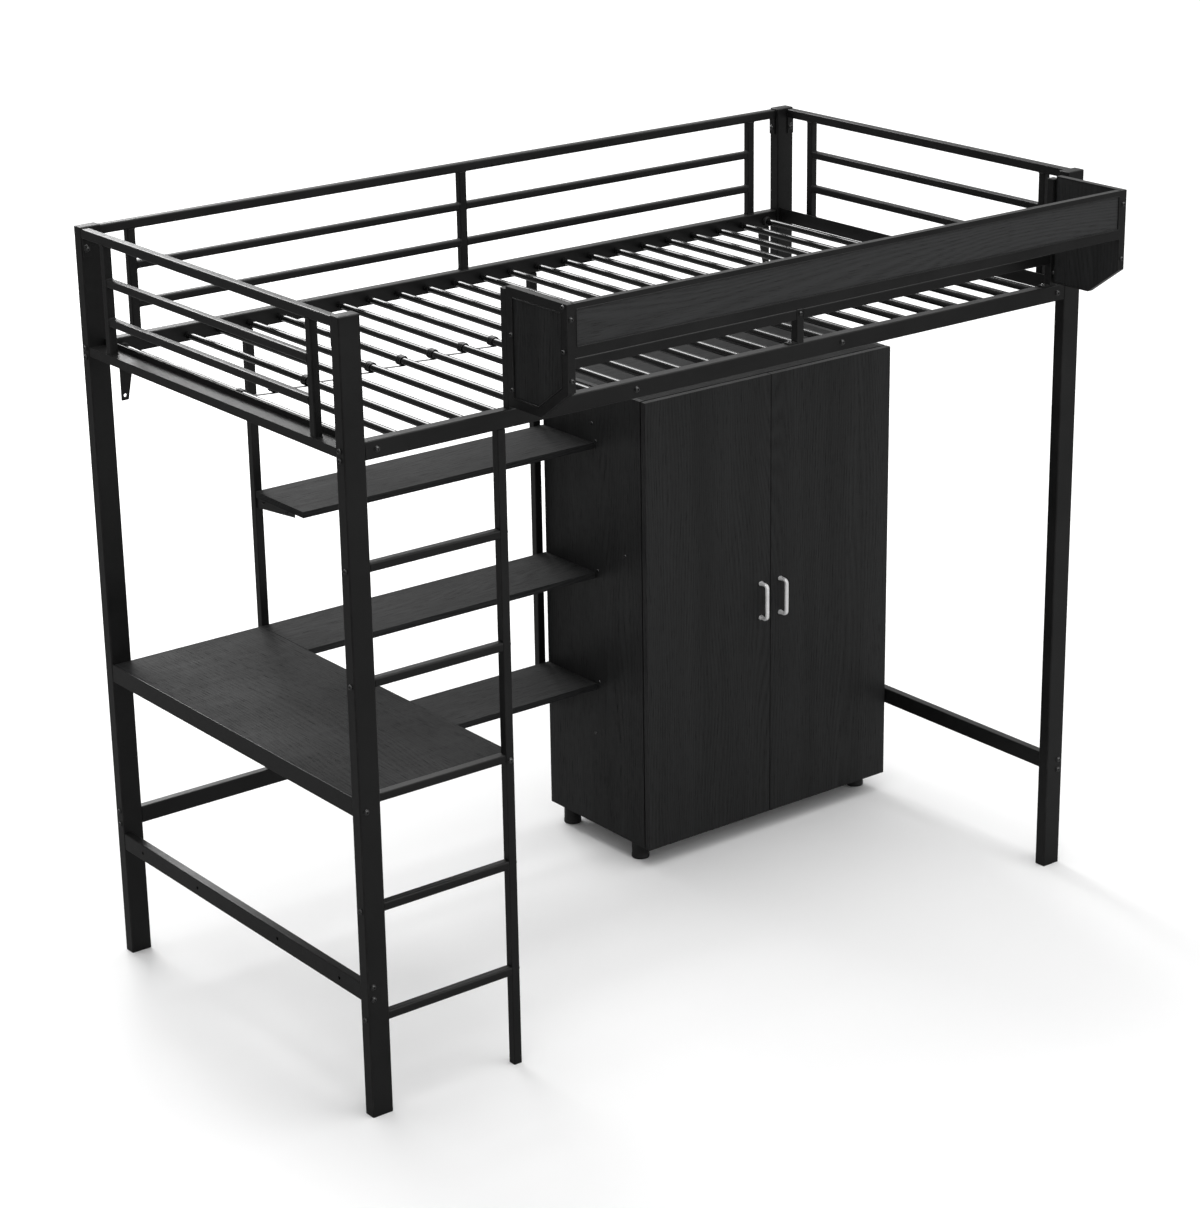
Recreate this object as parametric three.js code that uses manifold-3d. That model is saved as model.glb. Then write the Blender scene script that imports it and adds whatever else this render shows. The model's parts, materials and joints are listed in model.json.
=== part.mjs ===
// Loft bed with a corner desk, wall shelves, a wardrobe and a boxed front guard.
// Millimetres, +Z up, +X along the bed, the open (ladder) side faces -Y.
// Pieces are laid out from the outer front left corner of the frame at the floor,
// and the whole bed is moved once, at the end, so the origin is under its middle.

import * as THREE from "three";
import { mergeVertices } from "three/addons/utils/BufferGeometryUtils.js";
import Module from "manifold-3d";

// ---------------------------------------------------------------- frame
const LENGTH = 2010;
const DEPTH = 1030;
const HEIGHT = 1710;
const POST_X = 50;
const POST_Y = 30;
const WALL = 1.5;
const THIN_WALL = 1.2;
const GAP = 0.3;
const CAP = 2;

// ---------------------------------------------------------------- bed
const RAIL_LOW = 1418;
const RAIL_TOP = 1456;
const RAIL_DEEP = 25;
const LEDGE_WIDE = 42;
const END_RAIL_LOW = 1428;
const LEDGE_TOP = 1448;
const SLAT_COUNT = 24;
const SLAT_PITCH = 80;
const SLAT_DIAMETER = 16;
const SLAT_AXIS_Z = 1434;
const TIE_DIAMETER = 6;

// ---------------------------------------------------------------- guard
const GUARD_TUBE_HIGH = 22;
const GUARD_TUBE_DEEP = 20;
const GUARD_BAR = 18;
const GUARD_BAR_EDGE = 4;
const GUARD_BAR_TOPS = [1616, 1530];
const STILE = 20;
const REAR_STILE_INSET = 118;
const END_STILE_INSET = 104;
const BALCONY_OUT = 200;
const BALCONY_LEFT = 392;
const BALCONY_RIGHT = 1936;
const BALCONY_LOW = 1600;
const BALCONY_SIDE_LOW = 1464;
const BALCONY_CHAMFER_Z = 1530;
const BALCONY_CHAMFER_Y = -108;
const FRAME_STRIP = 18;
const SHEET = 1.6;
const BOARD = 12;

// ---------------------------------------------------------------- ladder
const LADDER_X = 364;
const LADDER_TUBE = 20;
const RUNG_HIGH = 20;
const RUNG_TOPS = [232, 478, 967, 1209];
const DESK_RAIL_HIGH = 18;
const DESK_RAIL_TOP = 718;

// ---------------------------------------------------------------- desk and shelves
const PANEL = 15;
const DESK_TOP = 715;
const DESK_RIGHT = 389;
const BACK_Y = 998;
const SHELF_DEEP = 200;
const SHELF_TOPS = [427, 715, 1041];
const UPRIGHT = 20;
const UPRIGHT_LEFT_X = 395;
const UPRIGHT_RIGHT_X = 1186;
const LOW_REAR_RAIL = [315, 355];
const LOW_LEFT_RAIL = [261, 301];
const LOW_RIGHT_RAIL = [237, 277];
const LOW_RAIL_HOLES = [110, 350, 680, 920];

// ---------------------------------------------------------------- wardrobe
const WARD_X0 = 1212;
const WARD_X1 = 1982;
const WARD_FRONT = 600;
const WARD_BACK = 998;
const WARD_Z0 = 48;
const WARD_Z1 = 1181;
const DOOR_THICK = 16;
const DOOR_GAP = 4;
const BACK_THICK = 4;
const FOOT_DIAMETER = 38;
const HINGE_HEIGHTS = [160, 1069];
const HANDLE_INSET = 31;
const HANDLE_Z = [565, 665];
const WARD_SHELF_TOP = 420;
const ROD_Z = 1090;
const ROD_DIAMETER = 22;

const wasm = await Module();
wasm.setup();
const { Manifold } = wasm;

const FINISH = {
  steel: [0x1b1b1d, 0.55, 0.45],
  wood: [0x2b2c2e, 0.0, 0.6],
  plastic: [0x111112, 0.0, 0.55],
  bright: [0xc6c8ca, 0.9, 0.3],
  zinc: [0x9a9c9e, 0.9, 0.4],
};

// a three.js geometry as a manifold solid
function solidOf(geometry) {
  const bare = geometry.index ? geometry.toNonIndexed() : geometry.clone();
  bare.deleteAttribute("normal");
  bare.deleteAttribute("uv");
  const welded = mergeVertices(bare, 1e-4);
  return new Manifold(new wasm.Mesh({
    numProp: 3,
    vertProperties: new Float32Array(welded.attributes.position.array),
    triVerts: new Uint32Array(welded.index.array),
  }));
}

// a straight-edged block between two corners
function box(x0, x1, y0, y1, z0, z1) {
  const block = new THREE.BoxGeometry(x1 - x0, y1 - y0, z1 - z0);
  block.translate((x0 + x1) / 2, (y0 + y1) / 2, (z0 + z1) / 2);
  return solidOf(block);
}

// a closed outline in the plane across an axis, drawn out between two stations
// axis "x": outline in (y, z); axis "y": outline in (x, z); axis "z": outline in (x, y)
function drawn(axis, outline, from, to) {
  const shape = new THREE.Shape(outline.map(([u, v]) => new THREE.Vector2(u, v)));
  const body = new THREE.ExtrudeGeometry(shape, { depth: to - from, bevelEnabled: false });
  const turn = new THREE.Matrix4();
  if (axis === "x") turn.set(0, 0, 1, from, 1, 0, 0, 0, 0, 1, 0, 0, 0, 0, 0, 1);
  if (axis === "y") turn.set(1, 0, 0, 0, 0, 0, -1, to, 0, 1, 0, 0, 0, 0, 0, 1);
  if (axis === "z") turn.set(1, 0, 0, 0, 0, 1, 0, 0, 0, 0, 1, from, 0, 0, 0, 1);
  body.applyMatrix4(turn);
  return solidOf(body);
}

// outline of a tube with rounded corners
function roundedOutline(u0, u1, v0, v1, radius, steps = 3) {
  const points = [];
  const corners = [
    [u1 - radius, v0 + radius, -90],
    [u1 - radius, v1 - radius, 0],
    [u0 + radius, v1 - radius, 90],
    [u0 + radius, v0 + radius, 180],
  ];
  for (const [u, v, start] of corners) {
    for (let step = 0; step <= steps; step += 1) {
      const angle = ((start + (90 * step) / steps) * Math.PI) / 180;
      points.push([u + radius * Math.cos(angle), v + radius * Math.sin(angle)]);
    }
  }
  return points;
}

// a rounded bar or, with a wall, an open-ended tube between two corners
function bar(axis, [x0, x1], [y0, y1], [z0, z1], radius = 2, wall = 0) {
  const span = { x: [y0, y1, z0, z1, x0, x1], y: [x0, x1, z0, z1, y0, y1], z: [x0, x1, y0, y1, z0, z1] };
  const [u0, u1, v0, v1, from, to] = span[axis];
  const outer = drawn(axis, roundedOutline(u0, u1, v0, v1, radius), from, to);
  if (!wall) return outer;
  const inner = roundedOutline(u0 + wall, u1 - wall, v0 + wall, v1 - wall, Math.max(0.4, radius - wall));
  return outer.subtract(drawn(axis, inner, from - 1, to + 1));
}

// a round rod along an axis
function rod(axis, [a, b], diameter, from, to, sides = 16) {
  const points = [];
  for (let side = 0; side < sides; side += 1) {
    const angle = (2 * Math.PI * (side + 0.5)) / sides;
    points.push([a + (diameter / 2) * Math.cos(angle), b + (diameter / 2) * Math.sin(angle)]);
  }
  return drawn(axis, points, from, to);
}

function join(first, ...others) {
  return others.reduce((sum, piece) => sum.add(piece), first);
}

function cut(body, ...tools) {
  return tools.reduce((left, tool) => left.subtract(tool), body);
}

const bed = new THREE.Group();
bed.name = "loft_bed_with_desk";

// adds one closed body to the bed as a named mesh
function add(name, solid, finish) {
  const raw = solid.getMesh();
  const geometry = new THREE.BufferGeometry();
  const positions = new Float32Array(raw.numVert * 3);
  for (let i = 0; i < raw.numVert; i += 1) {
    positions[3 * i] = raw.vertProperties[raw.numProp * i] - LENGTH / 2;
    positions[3 * i + 1] = raw.vertProperties[raw.numProp * i + 1] - (DEPTH - BALCONY_OUT) / 2;
    positions[3 * i + 2] = raw.vertProperties[raw.numProp * i + 2];
  }
  geometry.setAttribute("position", new THREE.BufferAttribute(positions, 3));
  geometry.setIndex(new THREE.BufferAttribute(new Uint32Array(raw.triVerts), 1));
  const sharp = geometry.toNonIndexed();
  sharp.computeVertexNormals();
  const [color, metalness, roughness] = FINISH[finish];
  const mesh = new THREE.Mesh(sharp, new THREE.MeshStandardMaterial({ color, metalness, roughness }));
  mesh.name = name;
  mesh.material.name = name + "_finish";
  bed.add(mesh);
}

// ---------------------------------------------------------------- posts and end rails

// one corner post: rectangular tube closed by a flat plug at the top, open at the floor
function cornerPost(name, x0, y0) {
  const tube = bar("z", [x0, x0 + POST_X], [y0, y0 + POST_Y], [0, HEIGHT], 3, WALL);
  const top = bar("z", [x0 + 1, x0 + POST_X - 1], [y0 + 1, y0 + POST_Y - 1], [HEIGHT - CAP, HEIGHT], 2);
  add(name, join(tube, top), "steel");
}

function posts() {
  const right = LENGTH - POST_X;
  const rear = DEPTH - POST_Y;
  cornerPost("post_front_left", 0, 0);
  cornerPost("post_front_right", right, 0);
  cornerPost("post_rear_left", 0, rear);
  cornerPost("post_rear_right", right, rear);
}

function lowRails() {
  const between = [POST_Y + GAP, DEPTH - POST_Y - GAP];
  const left = bar("y", [1, 21], between, LOW_LEFT_RAIL, 2.5, THIN_WALL);
  const middle = (LOW_LEFT_RAIL[0] + LOW_LEFT_RAIL[1]) / 2;
  const holes = LOW_RAIL_HOLES.map((y) => rod("x", [y, middle], 8, -5, 30, 12));
  add("low_rail_left", cut(left, ...holes), "steel");
  const rightX = [LENGTH - 21, LENGTH - 1];
  add("low_rail_right", bar("y", rightX, between, LOW_RIGHT_RAIL, 2.5, THIN_WALL), "steel");
  const rearY = [DEPTH - POST_Y + 1, DEPTH - POST_Y + 21];
  const rearX = [POST_X + GAP, LENGTH - POST_X - GAP];
  add("low_rail_rear", bar("x", rearX, rearY, LOW_REAR_RAIL, 2.5, THIN_WALL), "steel");
}

// ---------------------------------------------------------------- ladder

function ladder() {
  const postX = [LADDER_X, LADDER_X + LADDER_TUBE];
  const postY = [1, 1 + LADDER_TUBE];
  add("ladder_post", bar("z", postX, postY, [0, RAIL_LOW - GAP], 2, WALL), "steel");
  const spanX = [POST_X + GAP, LADDER_X - GAP];
  RUNG_TOPS.forEach((top, index) => {
    const rung = bar("x", spanX, [1, 21], [top - RUNG_HIGH, top], 4, THIN_WALL);
    add("rung_" + (index + 1), rung, "steel");
  });
  const railZ = [DESK_RAIL_TOP - DESK_RAIL_HIGH, DESK_RAIL_TOP];
  add("desk_rail_front", bar("x", spanX, [3, 23], railZ, 2, THIN_WALL), "steel");
}

// ---------------------------------------------------------------- desk

// end rail with a thin lip that hides the edge of the desk board
function deskEndRail() {
  const low = DESK_TOP - 41;
  const shelf = DESK_TOP - PANEL - GAP;
  const outline = [[1, low], [21, low], [21, shelf], [3, shelf], [3, DESK_TOP], [1, DESK_TOP]];
  const rail = drawn("y", outline, POST_Y + GAP, DEPTH - POST_Y - GAP);
  const bore = box(1 + THIN_WALL, 21 - THIN_WALL, 0, DEPTH, low + THIN_WALL, shelf - THIN_WALL);
  add("desk_rail_end", cut(rail, bore), "steel");
}

function deskBoard() {
  const board = box(3 + GAP, DESK_RIGHT, 24, BACK_Y, DESK_TOP - PANEL, DESK_TOP);
  const post = box(0, POST_X + 1, 0, POST_Y + 1, DESK_TOP - 40, DESK_TOP + 5);
  add("desk_top", cut(board, post), "wood");
}

// ---------------------------------------------------------------- shelves

// thin upright from the low rear rail to the bed rail, with one welded arm under each shelf
function upright(name, x0, armSide) {
  const y0 = DEPTH - POST_Y + 1;
  const x = [x0, x0 + UPRIGHT];
  const y = [y0, y0 + UPRIGHT];
  const z = [LOW_REAR_RAIL[1] + GAP, RAIL_LOW - GAP];
  const parts = [bar("z", x, y, z, 2)];
  for (const top of SHELF_TOPS) {
    const under = top - PANEL - GAP;
    const arm = [[y0 + 2, under], [y0 - 160, under], [y0 - 160, under - 10], [y0 + 2, under - 26]];
    const web = armSide > 0 ? x0 + 4 : x0 + 14;
    parts.push(drawn("x", arm, web, web + 2));
    const reach = armSide > 0 && top === DESK_TOP ? 20 : 0;
    parts.push(box(x0 + 4 - reach, x0 + 16, y0 - 160, y0 + 2, under - 2, under));
  }
  const bore = box(x0 + WALL, x0 + UPRIGHT - WALL, y0 + WALL, y0 + UPRIGHT - WALL, 0, HEIGHT);
  add(name, cut(join(...parts), bore), "steel");
}

function shelves() {
  const front = BACK_Y - SHELF_DEEP;
  const names = ["shelf_low", "shelf_desk_level", "shelf_top"];
  SHELF_TOPS.forEach((top, index) => {
    const left = index === 1 ? DESK_RIGHT + 1 : UPRIGHT_LEFT_X;
    add(names[index], box(left, WARD_X0 - GAP, front, BACK_Y, top - PANEL, top), "wood");
  });
}

// ---------------------------------------------------------------- bed frame

function sideRails() {
  const x = [POST_X + GAP, LENGTH - POST_X - GAP];
  const z = [RAIL_LOW, RAIL_TOP];
  add("bed_rail_front", bar("x", x, [1, 1 + RAIL_DEEP], z, 2.5, WALL), "steel");
  const rearY = [DEPTH - 1 - RAIL_DEEP, DEPTH - 1];
  add("bed_rail_rear", bar("x", x, rearY, z, 2.5, WALL), "steel");
}

// end rail: a flat tube with an upstand that keeps the mattress base in place
function endRail(name, outer, inward) {
  const u = (distance) => outer + inward * distance;
  const outline = [
    [u(1), END_RAIL_LOW], [u(LEDGE_WIDE), END_RAIL_LOW], [u(LEDGE_WIDE), LEDGE_TOP + 13],
    [u(LEDGE_WIDE - 3), LEDGE_TOP + 13], [u(LEDGE_WIDE - 3), LEDGE_TOP], [u(1), LEDGE_TOP],
  ];
  const low = END_RAIL_LOW + WALL;
  const high = LEDGE_TOP - WALL;
  const inner = [u(1 + WALL), u(LEDGE_WIDE - WALL)].sort((a, b) => a - b);
  const bore = box(inner[0], inner[1], 0, DEPTH, low, high);
  add(name, cut(drawn("y", outline, POST_Y + GAP, DEPTH - POST_Y - GAP), bore), "steel");
}

// all slats with the centre tie and its clips: one clipped base that lifts in and out
function slatBase() {
  const y0 = 1 + RAIL_DEEP + GAP;
  const y1 = DEPTH - 1 - RAIL_DEEP - GAP;
  const middle = (y0 + y1) / 2;
  const first = LENGTH / 2 - (SLAT_PITCH * (SLAT_COUNT - 1)) / 2;
  const last = first + SLAT_PITCH * (SLAT_COUNT - 1);
  const under = SLAT_AXIS_Z - 1;
  const parts = [rod("x", [middle, under], TIE_DIAMETER, first - 12, last + 12, 10)];
  for (let index = 0; index < SLAT_COUNT; index += 1) {
    const x = first + SLAT_PITCH * index;
    parts.push(rod("y", [x, SLAT_AXIS_Z], SLAT_DIAMETER, y0, y1, 12));
    parts.push(box(x - 11, x + 11, middle - 9, middle + 9, SLAT_AXIS_Z - 9.5, SLAT_AXIS_Z + 9.5));
  }
  const bores = [];
  for (let index = 0; index < SLAT_COUNT; index += 1) {
    const x = first + SLAT_PITCH * index;
    bores.push(rod("y", [x, SLAT_AXIS_Z], SLAT_DIAMETER - 2 * THIN_WALL, y0 - 1, y1 + 1, 12));
  }
  add("slat_base", cut(join(...parts), ...bores), "steel");
}

// tapered plate that hangs under the rear bed rail near each rear post
function rearBracket(name, x0, side) {
  const u = (distance) => x0 + side * distance;
  const low = 1314;
  const top = RAIL_LOW - GAP;
  const outline = [[u(0), low], [u(17), low], [u(34), top - 20], [u(34), top], [u(0), top]];
  const y = DEPTH - 1 - RAIL_DEEP;
  const plate = drawn("y", outline, y, y + 3);
  const flange = box(Math.min(u(0), u(34)), Math.max(u(0), u(34)), y, y + 22, top - 3, top);
  const hole = rod("y", [u(9), low + 11], 8, y - 2, y + 8, 12);
  add(name, cut(join(plate, flange), hole), "steel");
}

// ---------------------------------------------------------------- end and rear guards

// a welded guard that runs across an end of the bed
function endGuard(name, x0) {
  const span = [POST_Y + GAP, DEPTH - POST_Y - GAP];
  const deep = [x0, x0 + GUARD_TUBE_DEEP];
  const setIn = (STILE - GUARD_BAR) / 2;
  const barX = [x0 + setIn, x0 + setIn + GUARD_BAR];
  const inset = END_STILE_INSET;
  const stiles = [[inset, inset + STILE], [DEPTH - inset - STILE, DEPTH - inset]];
  const parts = [bar("y", deep, span, [HEIGHT - GUARD_TUBE_HIGH, HEIGHT - 1], 3)];
  for (const stile of stiles) {
    parts.push(bar("z", [x0 + 1, x0 + 19], stile, [LEDGE_TOP + GAP, HEIGHT - 4], 3));
  }
  for (const top of GUARD_BAR_TOPS) {
    const barY = [stiles[0][0] + 4, stiles[1][1] - 4];
    parts.push(bar("y", barX, barY, [top - GUARD_BAR, top], GUARD_BAR_EDGE));
  }
  for (const y of [span[0], span[1] - 3]) {
    parts.push(box(deep[0] + 1, deep[1] - 1, y, y + 3, HEIGHT - 62, HEIGHT - 6));
  }
  const low = HEIGHT - GUARD_TUBE_HIGH + THIN_WALL;
  const bore = box(deep[0] + THIN_WALL, deep[1] - THIN_WALL, 0, DEPTH, low, HEIGHT - 1 - THIN_WALL);
  add(name, cut(join(...parts), bore), "steel");
}

// a welded guard along the rear of the bed, with a stile at each end and one in the middle
function rearGuard() {
  const y0 = DEPTH - 1 - GUARD_TUBE_DEEP;
  const setIn = (STILE - GUARD_BAR) / 2;
  const span = [POST_X + GAP, LENGTH - POST_X - GAP];
  const parts = [bar("x", span, [y0, y0 + GUARD_TUBE_DEEP], [HEIGHT - GUARD_TUBE_HIGH, HEIGHT - 1], 3)];
  const inset = REAR_STILE_INSET;
  for (const x of [inset, LENGTH / 2 - STILE / 2, LENGTH - inset - STILE]) {
    parts.push(bar("z", [x, x + STILE], [y0 + 1, y0 + 19], [RAIL_TOP + GAP, HEIGHT - 4], 3));
  }
  for (const top of GUARD_BAR_TOPS) {
    const barY = [y0 + setIn, y0 + setIn + GUARD_BAR];
    parts.push(bar("x", [inset + 4, LENGTH - inset - 4], barY, [top - GUARD_BAR, top], GUARD_BAR_EDGE));
  }
  for (const x of [span[0], span[1] - 3]) {
    parts.push(box(x, x + 3, y0 + 1, y0 + 19, HEIGHT - 62, HEIGHT - 6));
  }
  const hole = rod("y", [LENGTH / 2 + 82, HEIGHT - 18], 5, y0 - 2, DEPTH + 2, 10);
  const low = HEIGHT - GUARD_TUBE_HIGH + THIN_WALL;
  const boreY = [y0 + THIN_WALL, y0 + GUARD_TUBE_DEEP - THIN_WALL];
  const bore = box(0, LENGTH, boreY[0], boreY[1], low, HEIGHT - 1 - THIN_WALL);
  add("guard_rear", cut(join(...parts), hole, bore), "steel");
}

// ---------------------------------------------------------------- boxed front guard

// low frame that stands on the front bed rail and carries the two side panels
function frontInnerFrame() {
  const y = [2, 22];
  const left = BALCONY_LEFT + SHEET + GAP;
  const right = BALCONY_RIGHT - SHEET - GAP;
  const low = RAIL_TOP + GAP;
  const parts = [bar("x", [left + 4, right - 4], y, [1508, 1530], 2)];
  parts.push(bar("z", [left, left + 20], y, [low, HEIGHT - 8], 2));
  parts.push(bar("z", [right - 20, right], y, [low, HEIGHT - 8], 2));
  const middle = (left + right) / 2;
  parts.push(bar("z", [middle - 10, middle + 10], y, [low, 1530], 2));
  for (const x of [left + 1, middle - 30, right - 41]) {
    parts.push(box(x, x + 40, 3, 21, low, low + 3));
  }
  add("guard_front_frame", join(...parts), "steel");
}

// outline of a side panel, drawn in by a margin on every edge
function sideOutline(margin) {
  const slope = (BALCONY_CHAMFER_Z - BALCONY_SIDE_LOW) / (BALCONY_CHAMFER_Y + BALCONY_OUT);
  const shift = margin * (Math.sqrt(1 + slope * slope) - 1) / slope;
  const shiftZ = margin * (Math.sqrt(1 + slope * slope) - slope);
  return [
    [0 - margin, BALCONY_SIDE_LOW + margin],
    [0 - margin, HEIGHT - 1 - margin],
    [-BALCONY_OUT + margin, HEIGHT - 1 - margin],
    [-BALCONY_OUT + margin, BALCONY_CHAMFER_Z + shiftZ],
    [BALCONY_CHAMFER_Y + shift, BALCONY_SIDE_LOW + margin],
  ];
}

// pressed steel side frame: thin face with a window, a turned edge all round and a front flange
function sideFrame(name, outer, inward) {
  const u = (distance) => outer + inward * distance;
  const span = (a, b) => [Math.min(u(a), u(b)), Math.max(u(a), u(b))];
  const deep = SHEET + BOARD + 1;
  const face = drawn("x", sideOutline(0), ...span(0, deep));
  const window = drawn("x", sideOutline(FRAME_STRIP), ...span(-1, deep + 1));
  const pocket = drawn("x", sideOutline(SHEET), ...span(SHEET, deep + 1));
  const flange = box(...span(0, FRAME_STRIP), -BALCONY_OUT, -BALCONY_OUT + SHEET, BALCONY_CHAMFER_Z, HEIGHT - 1);
  add(name, join(cut(face, window, pocket), flange), "steel");
}

function sideBoard(name, outer, inward) {
  const u = (distance) => outer + inward * distance;
  const x = [Math.min(u(SHEET + GAP), u(SHEET + BOARD)), Math.max(u(SHEET + GAP), u(SHEET + BOARD))];
  add(name, drawn("x", sideOutline(SHEET + GAP), x[0], x[1]), "wood");
}

// pressed steel frame of the long front panel: a face with one long window and a turned lip
function frontPanel() {
  const x = [BALCONY_LEFT + FRAME_STRIP + GAP, BALCONY_RIGHT - FRAME_STRIP - GAP];
  const y = [-BALCONY_OUT, -BALCONY_OUT + SHEET + BOARD + 1];
  const low = BALCONY_LOW;
  const top = HEIGHT - 1;
  const shell = box(x[0], x[1], y[0], y[1], low, top);
  const window = box(x[0] + 4, x[1] - 4, y[0] - 1, y[1] + 1, low + 22, top - 12);
  const pocket = box(x[0] + SHEET, x[1] - SHEET, y[0] + SHEET, y[1] + 1, low + SHEET, top - SHEET);
  add("guard_front_panel_frame", cut(shell, window, pocket), "steel");
  const inset = SHEET + GAP;
  const board = box(x[0] + inset, x[1] - inset, y[0] + inset, y[0] + SHEET + BOARD, low + inset, top - inset);
  add("guard_front_board", board, "wood");
}

// ---------------------------------------------------------------- wardrobe

function carcase() {
  const y0 = WARD_FRONT + DOOR_THICK + DOOR_GAP;
  const y1 = WARD_BACK;
  const side = (name, x) => {
    const panel = box(x, x + PANEL, y0, y1, WARD_Z0, WARD_Z1);
    const inner = x === WARD_X0 ? x + PANEL - 6 : x - 1;
    const groove = box(inner, inner + 7, y1 - 12, y1 - 12 + BACK_THICK + GAP, WARD_Z0 - 1, WARD_Z1 + 1);
    add(name, cut(panel, groove), "wood");
  };
  side("wardrobe_side_left", WARD_X0);
  side("wardrobe_side_right", WARD_X1 - PANEL);
  const inX = [WARD_X0 + PANEL + GAP, WARD_X1 - PANEL - GAP];
  const behind = y1 - 12 - GAP;
  add("wardrobe_top", box(...inX, y0, behind, WARD_Z1 - PANEL, WARD_Z1), "wood");
  add("wardrobe_bottom", box(...inX, y0, behind, WARD_Z0, WARD_Z0 + PANEL), "wood");
  const shelf = box(...inX, y0 + 20, behind, WARD_SHELF_TOP - PANEL, WARD_SHELF_TOP);
  add("wardrobe_shelf", shelf, "wood");
  const backX = [WARD_X0 + PANEL - 5.5, WARD_X1 - PANEL + 5.5];
  const back = box(...backX, y1 - 12 + GAP / 2, y1 - 12 + GAP / 2 + BACK_THICK, WARD_Z0 + 1, WARD_Z1 - 1);
  add("wardrobe_back", back, "wood");
  const rail = rod("x", [(y0 + y1) / 2, ROD_Z], ROD_DIAMETER, inX[0], inX[1], 20);
  const bore = rod("x", [(y0 + y1) / 2, ROD_Z], ROD_DIAMETER - 3, inX[0] - 1, inX[1] + 1, 20);
  add("clothes_rail", cut(rail, bore), "bright");
}

function feet() {
  const xs = [WARD_X0 + 30, WARD_X1 - 32];
  const ys = [674, 950];
  const names = [["foot_front_left", "foot_front_right"], ["foot_rear_left", "foot_rear_right"]];
  ys.forEach((y, row) => {
    xs.forEach((x, side) => {
      const stem = rod("z", [x, y], FOOT_DIAMETER, 6, WARD_Z0 - GAP, 24);
      const pad = rod("z", [x, y], FOOT_DIAMETER + 6, 0, 8, 24);
      add(names[row][side], join(stem, pad), "plastic");
    });
  });
}

// hinge body screwed to the inner face of a side panel, with its arm reaching to the door
function hingeArm(name, wall, inward, z) {
  const y0 = WARD_FRONT + DOOR_THICK + DOOR_GAP;
  const u = (a, b) => [Math.min(wall + inward * a, wall + inward * b), Math.max(wall + inward * a, wall + inward * b)];
  const plate = box(...u(GAP, 2.3), y0 + 18, y0 + 62, z - 22, z + 22);
  const arm = bar("y", u(1.5, 12), [y0 + 1, y0 + 58], [z - 8, z + 8], 2);
  add(name, join(plate, arm), "zinc");
}

// round hinge cup let into the back face of a door, with its flange
function hingeCup(name, x, z) {
  const back = WARD_FRONT + DOOR_THICK;
  const cup = rod("y", [x, z], 35, back - 11, back + 0.6, 24);
  const flange = bar("y", [x - 12, x + 12], [back + GAP, back + 1.5], [z - 30, z + 30], 4);
  const hollow = rod("y", [x, z], 31, back - 9, back + 5, 24);
  add(name, cut(join(cup, flange), hollow), "zinc");
}

// bow handle with two square legs
function handle(name, x, z0, z1) {
  const y = WARD_FRONT;
  const parts = [bar("z", [x - 5, x + 5], [y - 28, y - 20], [z0, z1], 3)];
  for (const z of [z0 + 1, z1 - 11]) {
    parts.push(bar("y", [x - 5, x + 5], [y - 26, y - GAP], [z, z + 10], 3));
  }
  add(name, join(...parts), "bright");
}

// a full-overlay door with its sockets, hinge cups and handle
function door(side, x0, x1, cupX, handleX) {
  const z = [WARD_Z0, WARD_Z1];
  const back = WARD_FRONT + DOOR_THICK;
  const sockets = HINGE_HEIGHTS.map((height) => rod("y", [cupX, height], 35 + 2 * GAP, back - 11.4, back + 1, 24));
  add("door_" + side, cut(box(x0, x1, WARD_FRONT, back, ...z), ...sockets), "wood");
  HINGE_HEIGHTS.forEach((height, index) => hingeCup("hinge_cup_" + side + "_" + (index + 1), cupX, height));
  handle("handle_" + side, handleX, ...HANDLE_Z);
}

function wardrobe() {
  carcase();
  feet();
  const middle = (WARD_X0 + WARD_X1) / 2;
  HINGE_HEIGHTS.forEach((height, index) => {
    hingeArm("hinge_arm_left_" + (index + 1), WARD_X0 + PANEL, 1, height);
    hingeArm("hinge_arm_right_" + (index + 1), WARD_X1 - PANEL, -1, height);
  });
  door("left", WARD_X0, middle - 1, WARD_X0 + 23, middle - HANDLE_INSET);
  door("right", middle + 1, WARD_X1, WARD_X1 - 23, middle + HANDLE_INSET);
}

// ---------------------------------------------------------------- the whole bed

posts();
lowRails();
ladder();
deskEndRail();
deskBoard();
upright("upright_left", UPRIGHT_LEFT_X, 1);
upright("upright_right", UPRIGHT_RIGHT_X, -1);
shelves();
sideRails();
endRail("bed_end_rail_left", 0, 1);
endRail("bed_end_rail_right", LENGTH, -1);
slatBase();
rearBracket("rear_bracket_left", 74, 1);
rearBracket("rear_bracket_right", LENGTH - 74, -1);
endGuard("guard_end_left", 1);
endGuard("guard_end_right", LENGTH - 1 - GUARD_TUBE_DEEP);
rearGuard();
frontInnerFrame();
sideFrame("guard_side_frame_left", BALCONY_LEFT, 1);
sideFrame("guard_side_frame_right", BALCONY_RIGHT, -1);
sideBoard("guard_side_board_left", BALCONY_LEFT, 1);
sideBoard("guard_side_board_right", BALCONY_RIGHT, -1);
frontPanel();
wardrobe();

export default bed;
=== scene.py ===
"""Loft bed with a corner desk, wall shelves, a wardrobe and a boxed front guard: looks, light and camera.

The tubes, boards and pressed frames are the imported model's own nodes. They get rounded edges and a finish.
The slats and their tie, the handles, feet, bolts, screws, welds, rims, plugs and cups are new pieces.
"""

import json
import math

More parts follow.
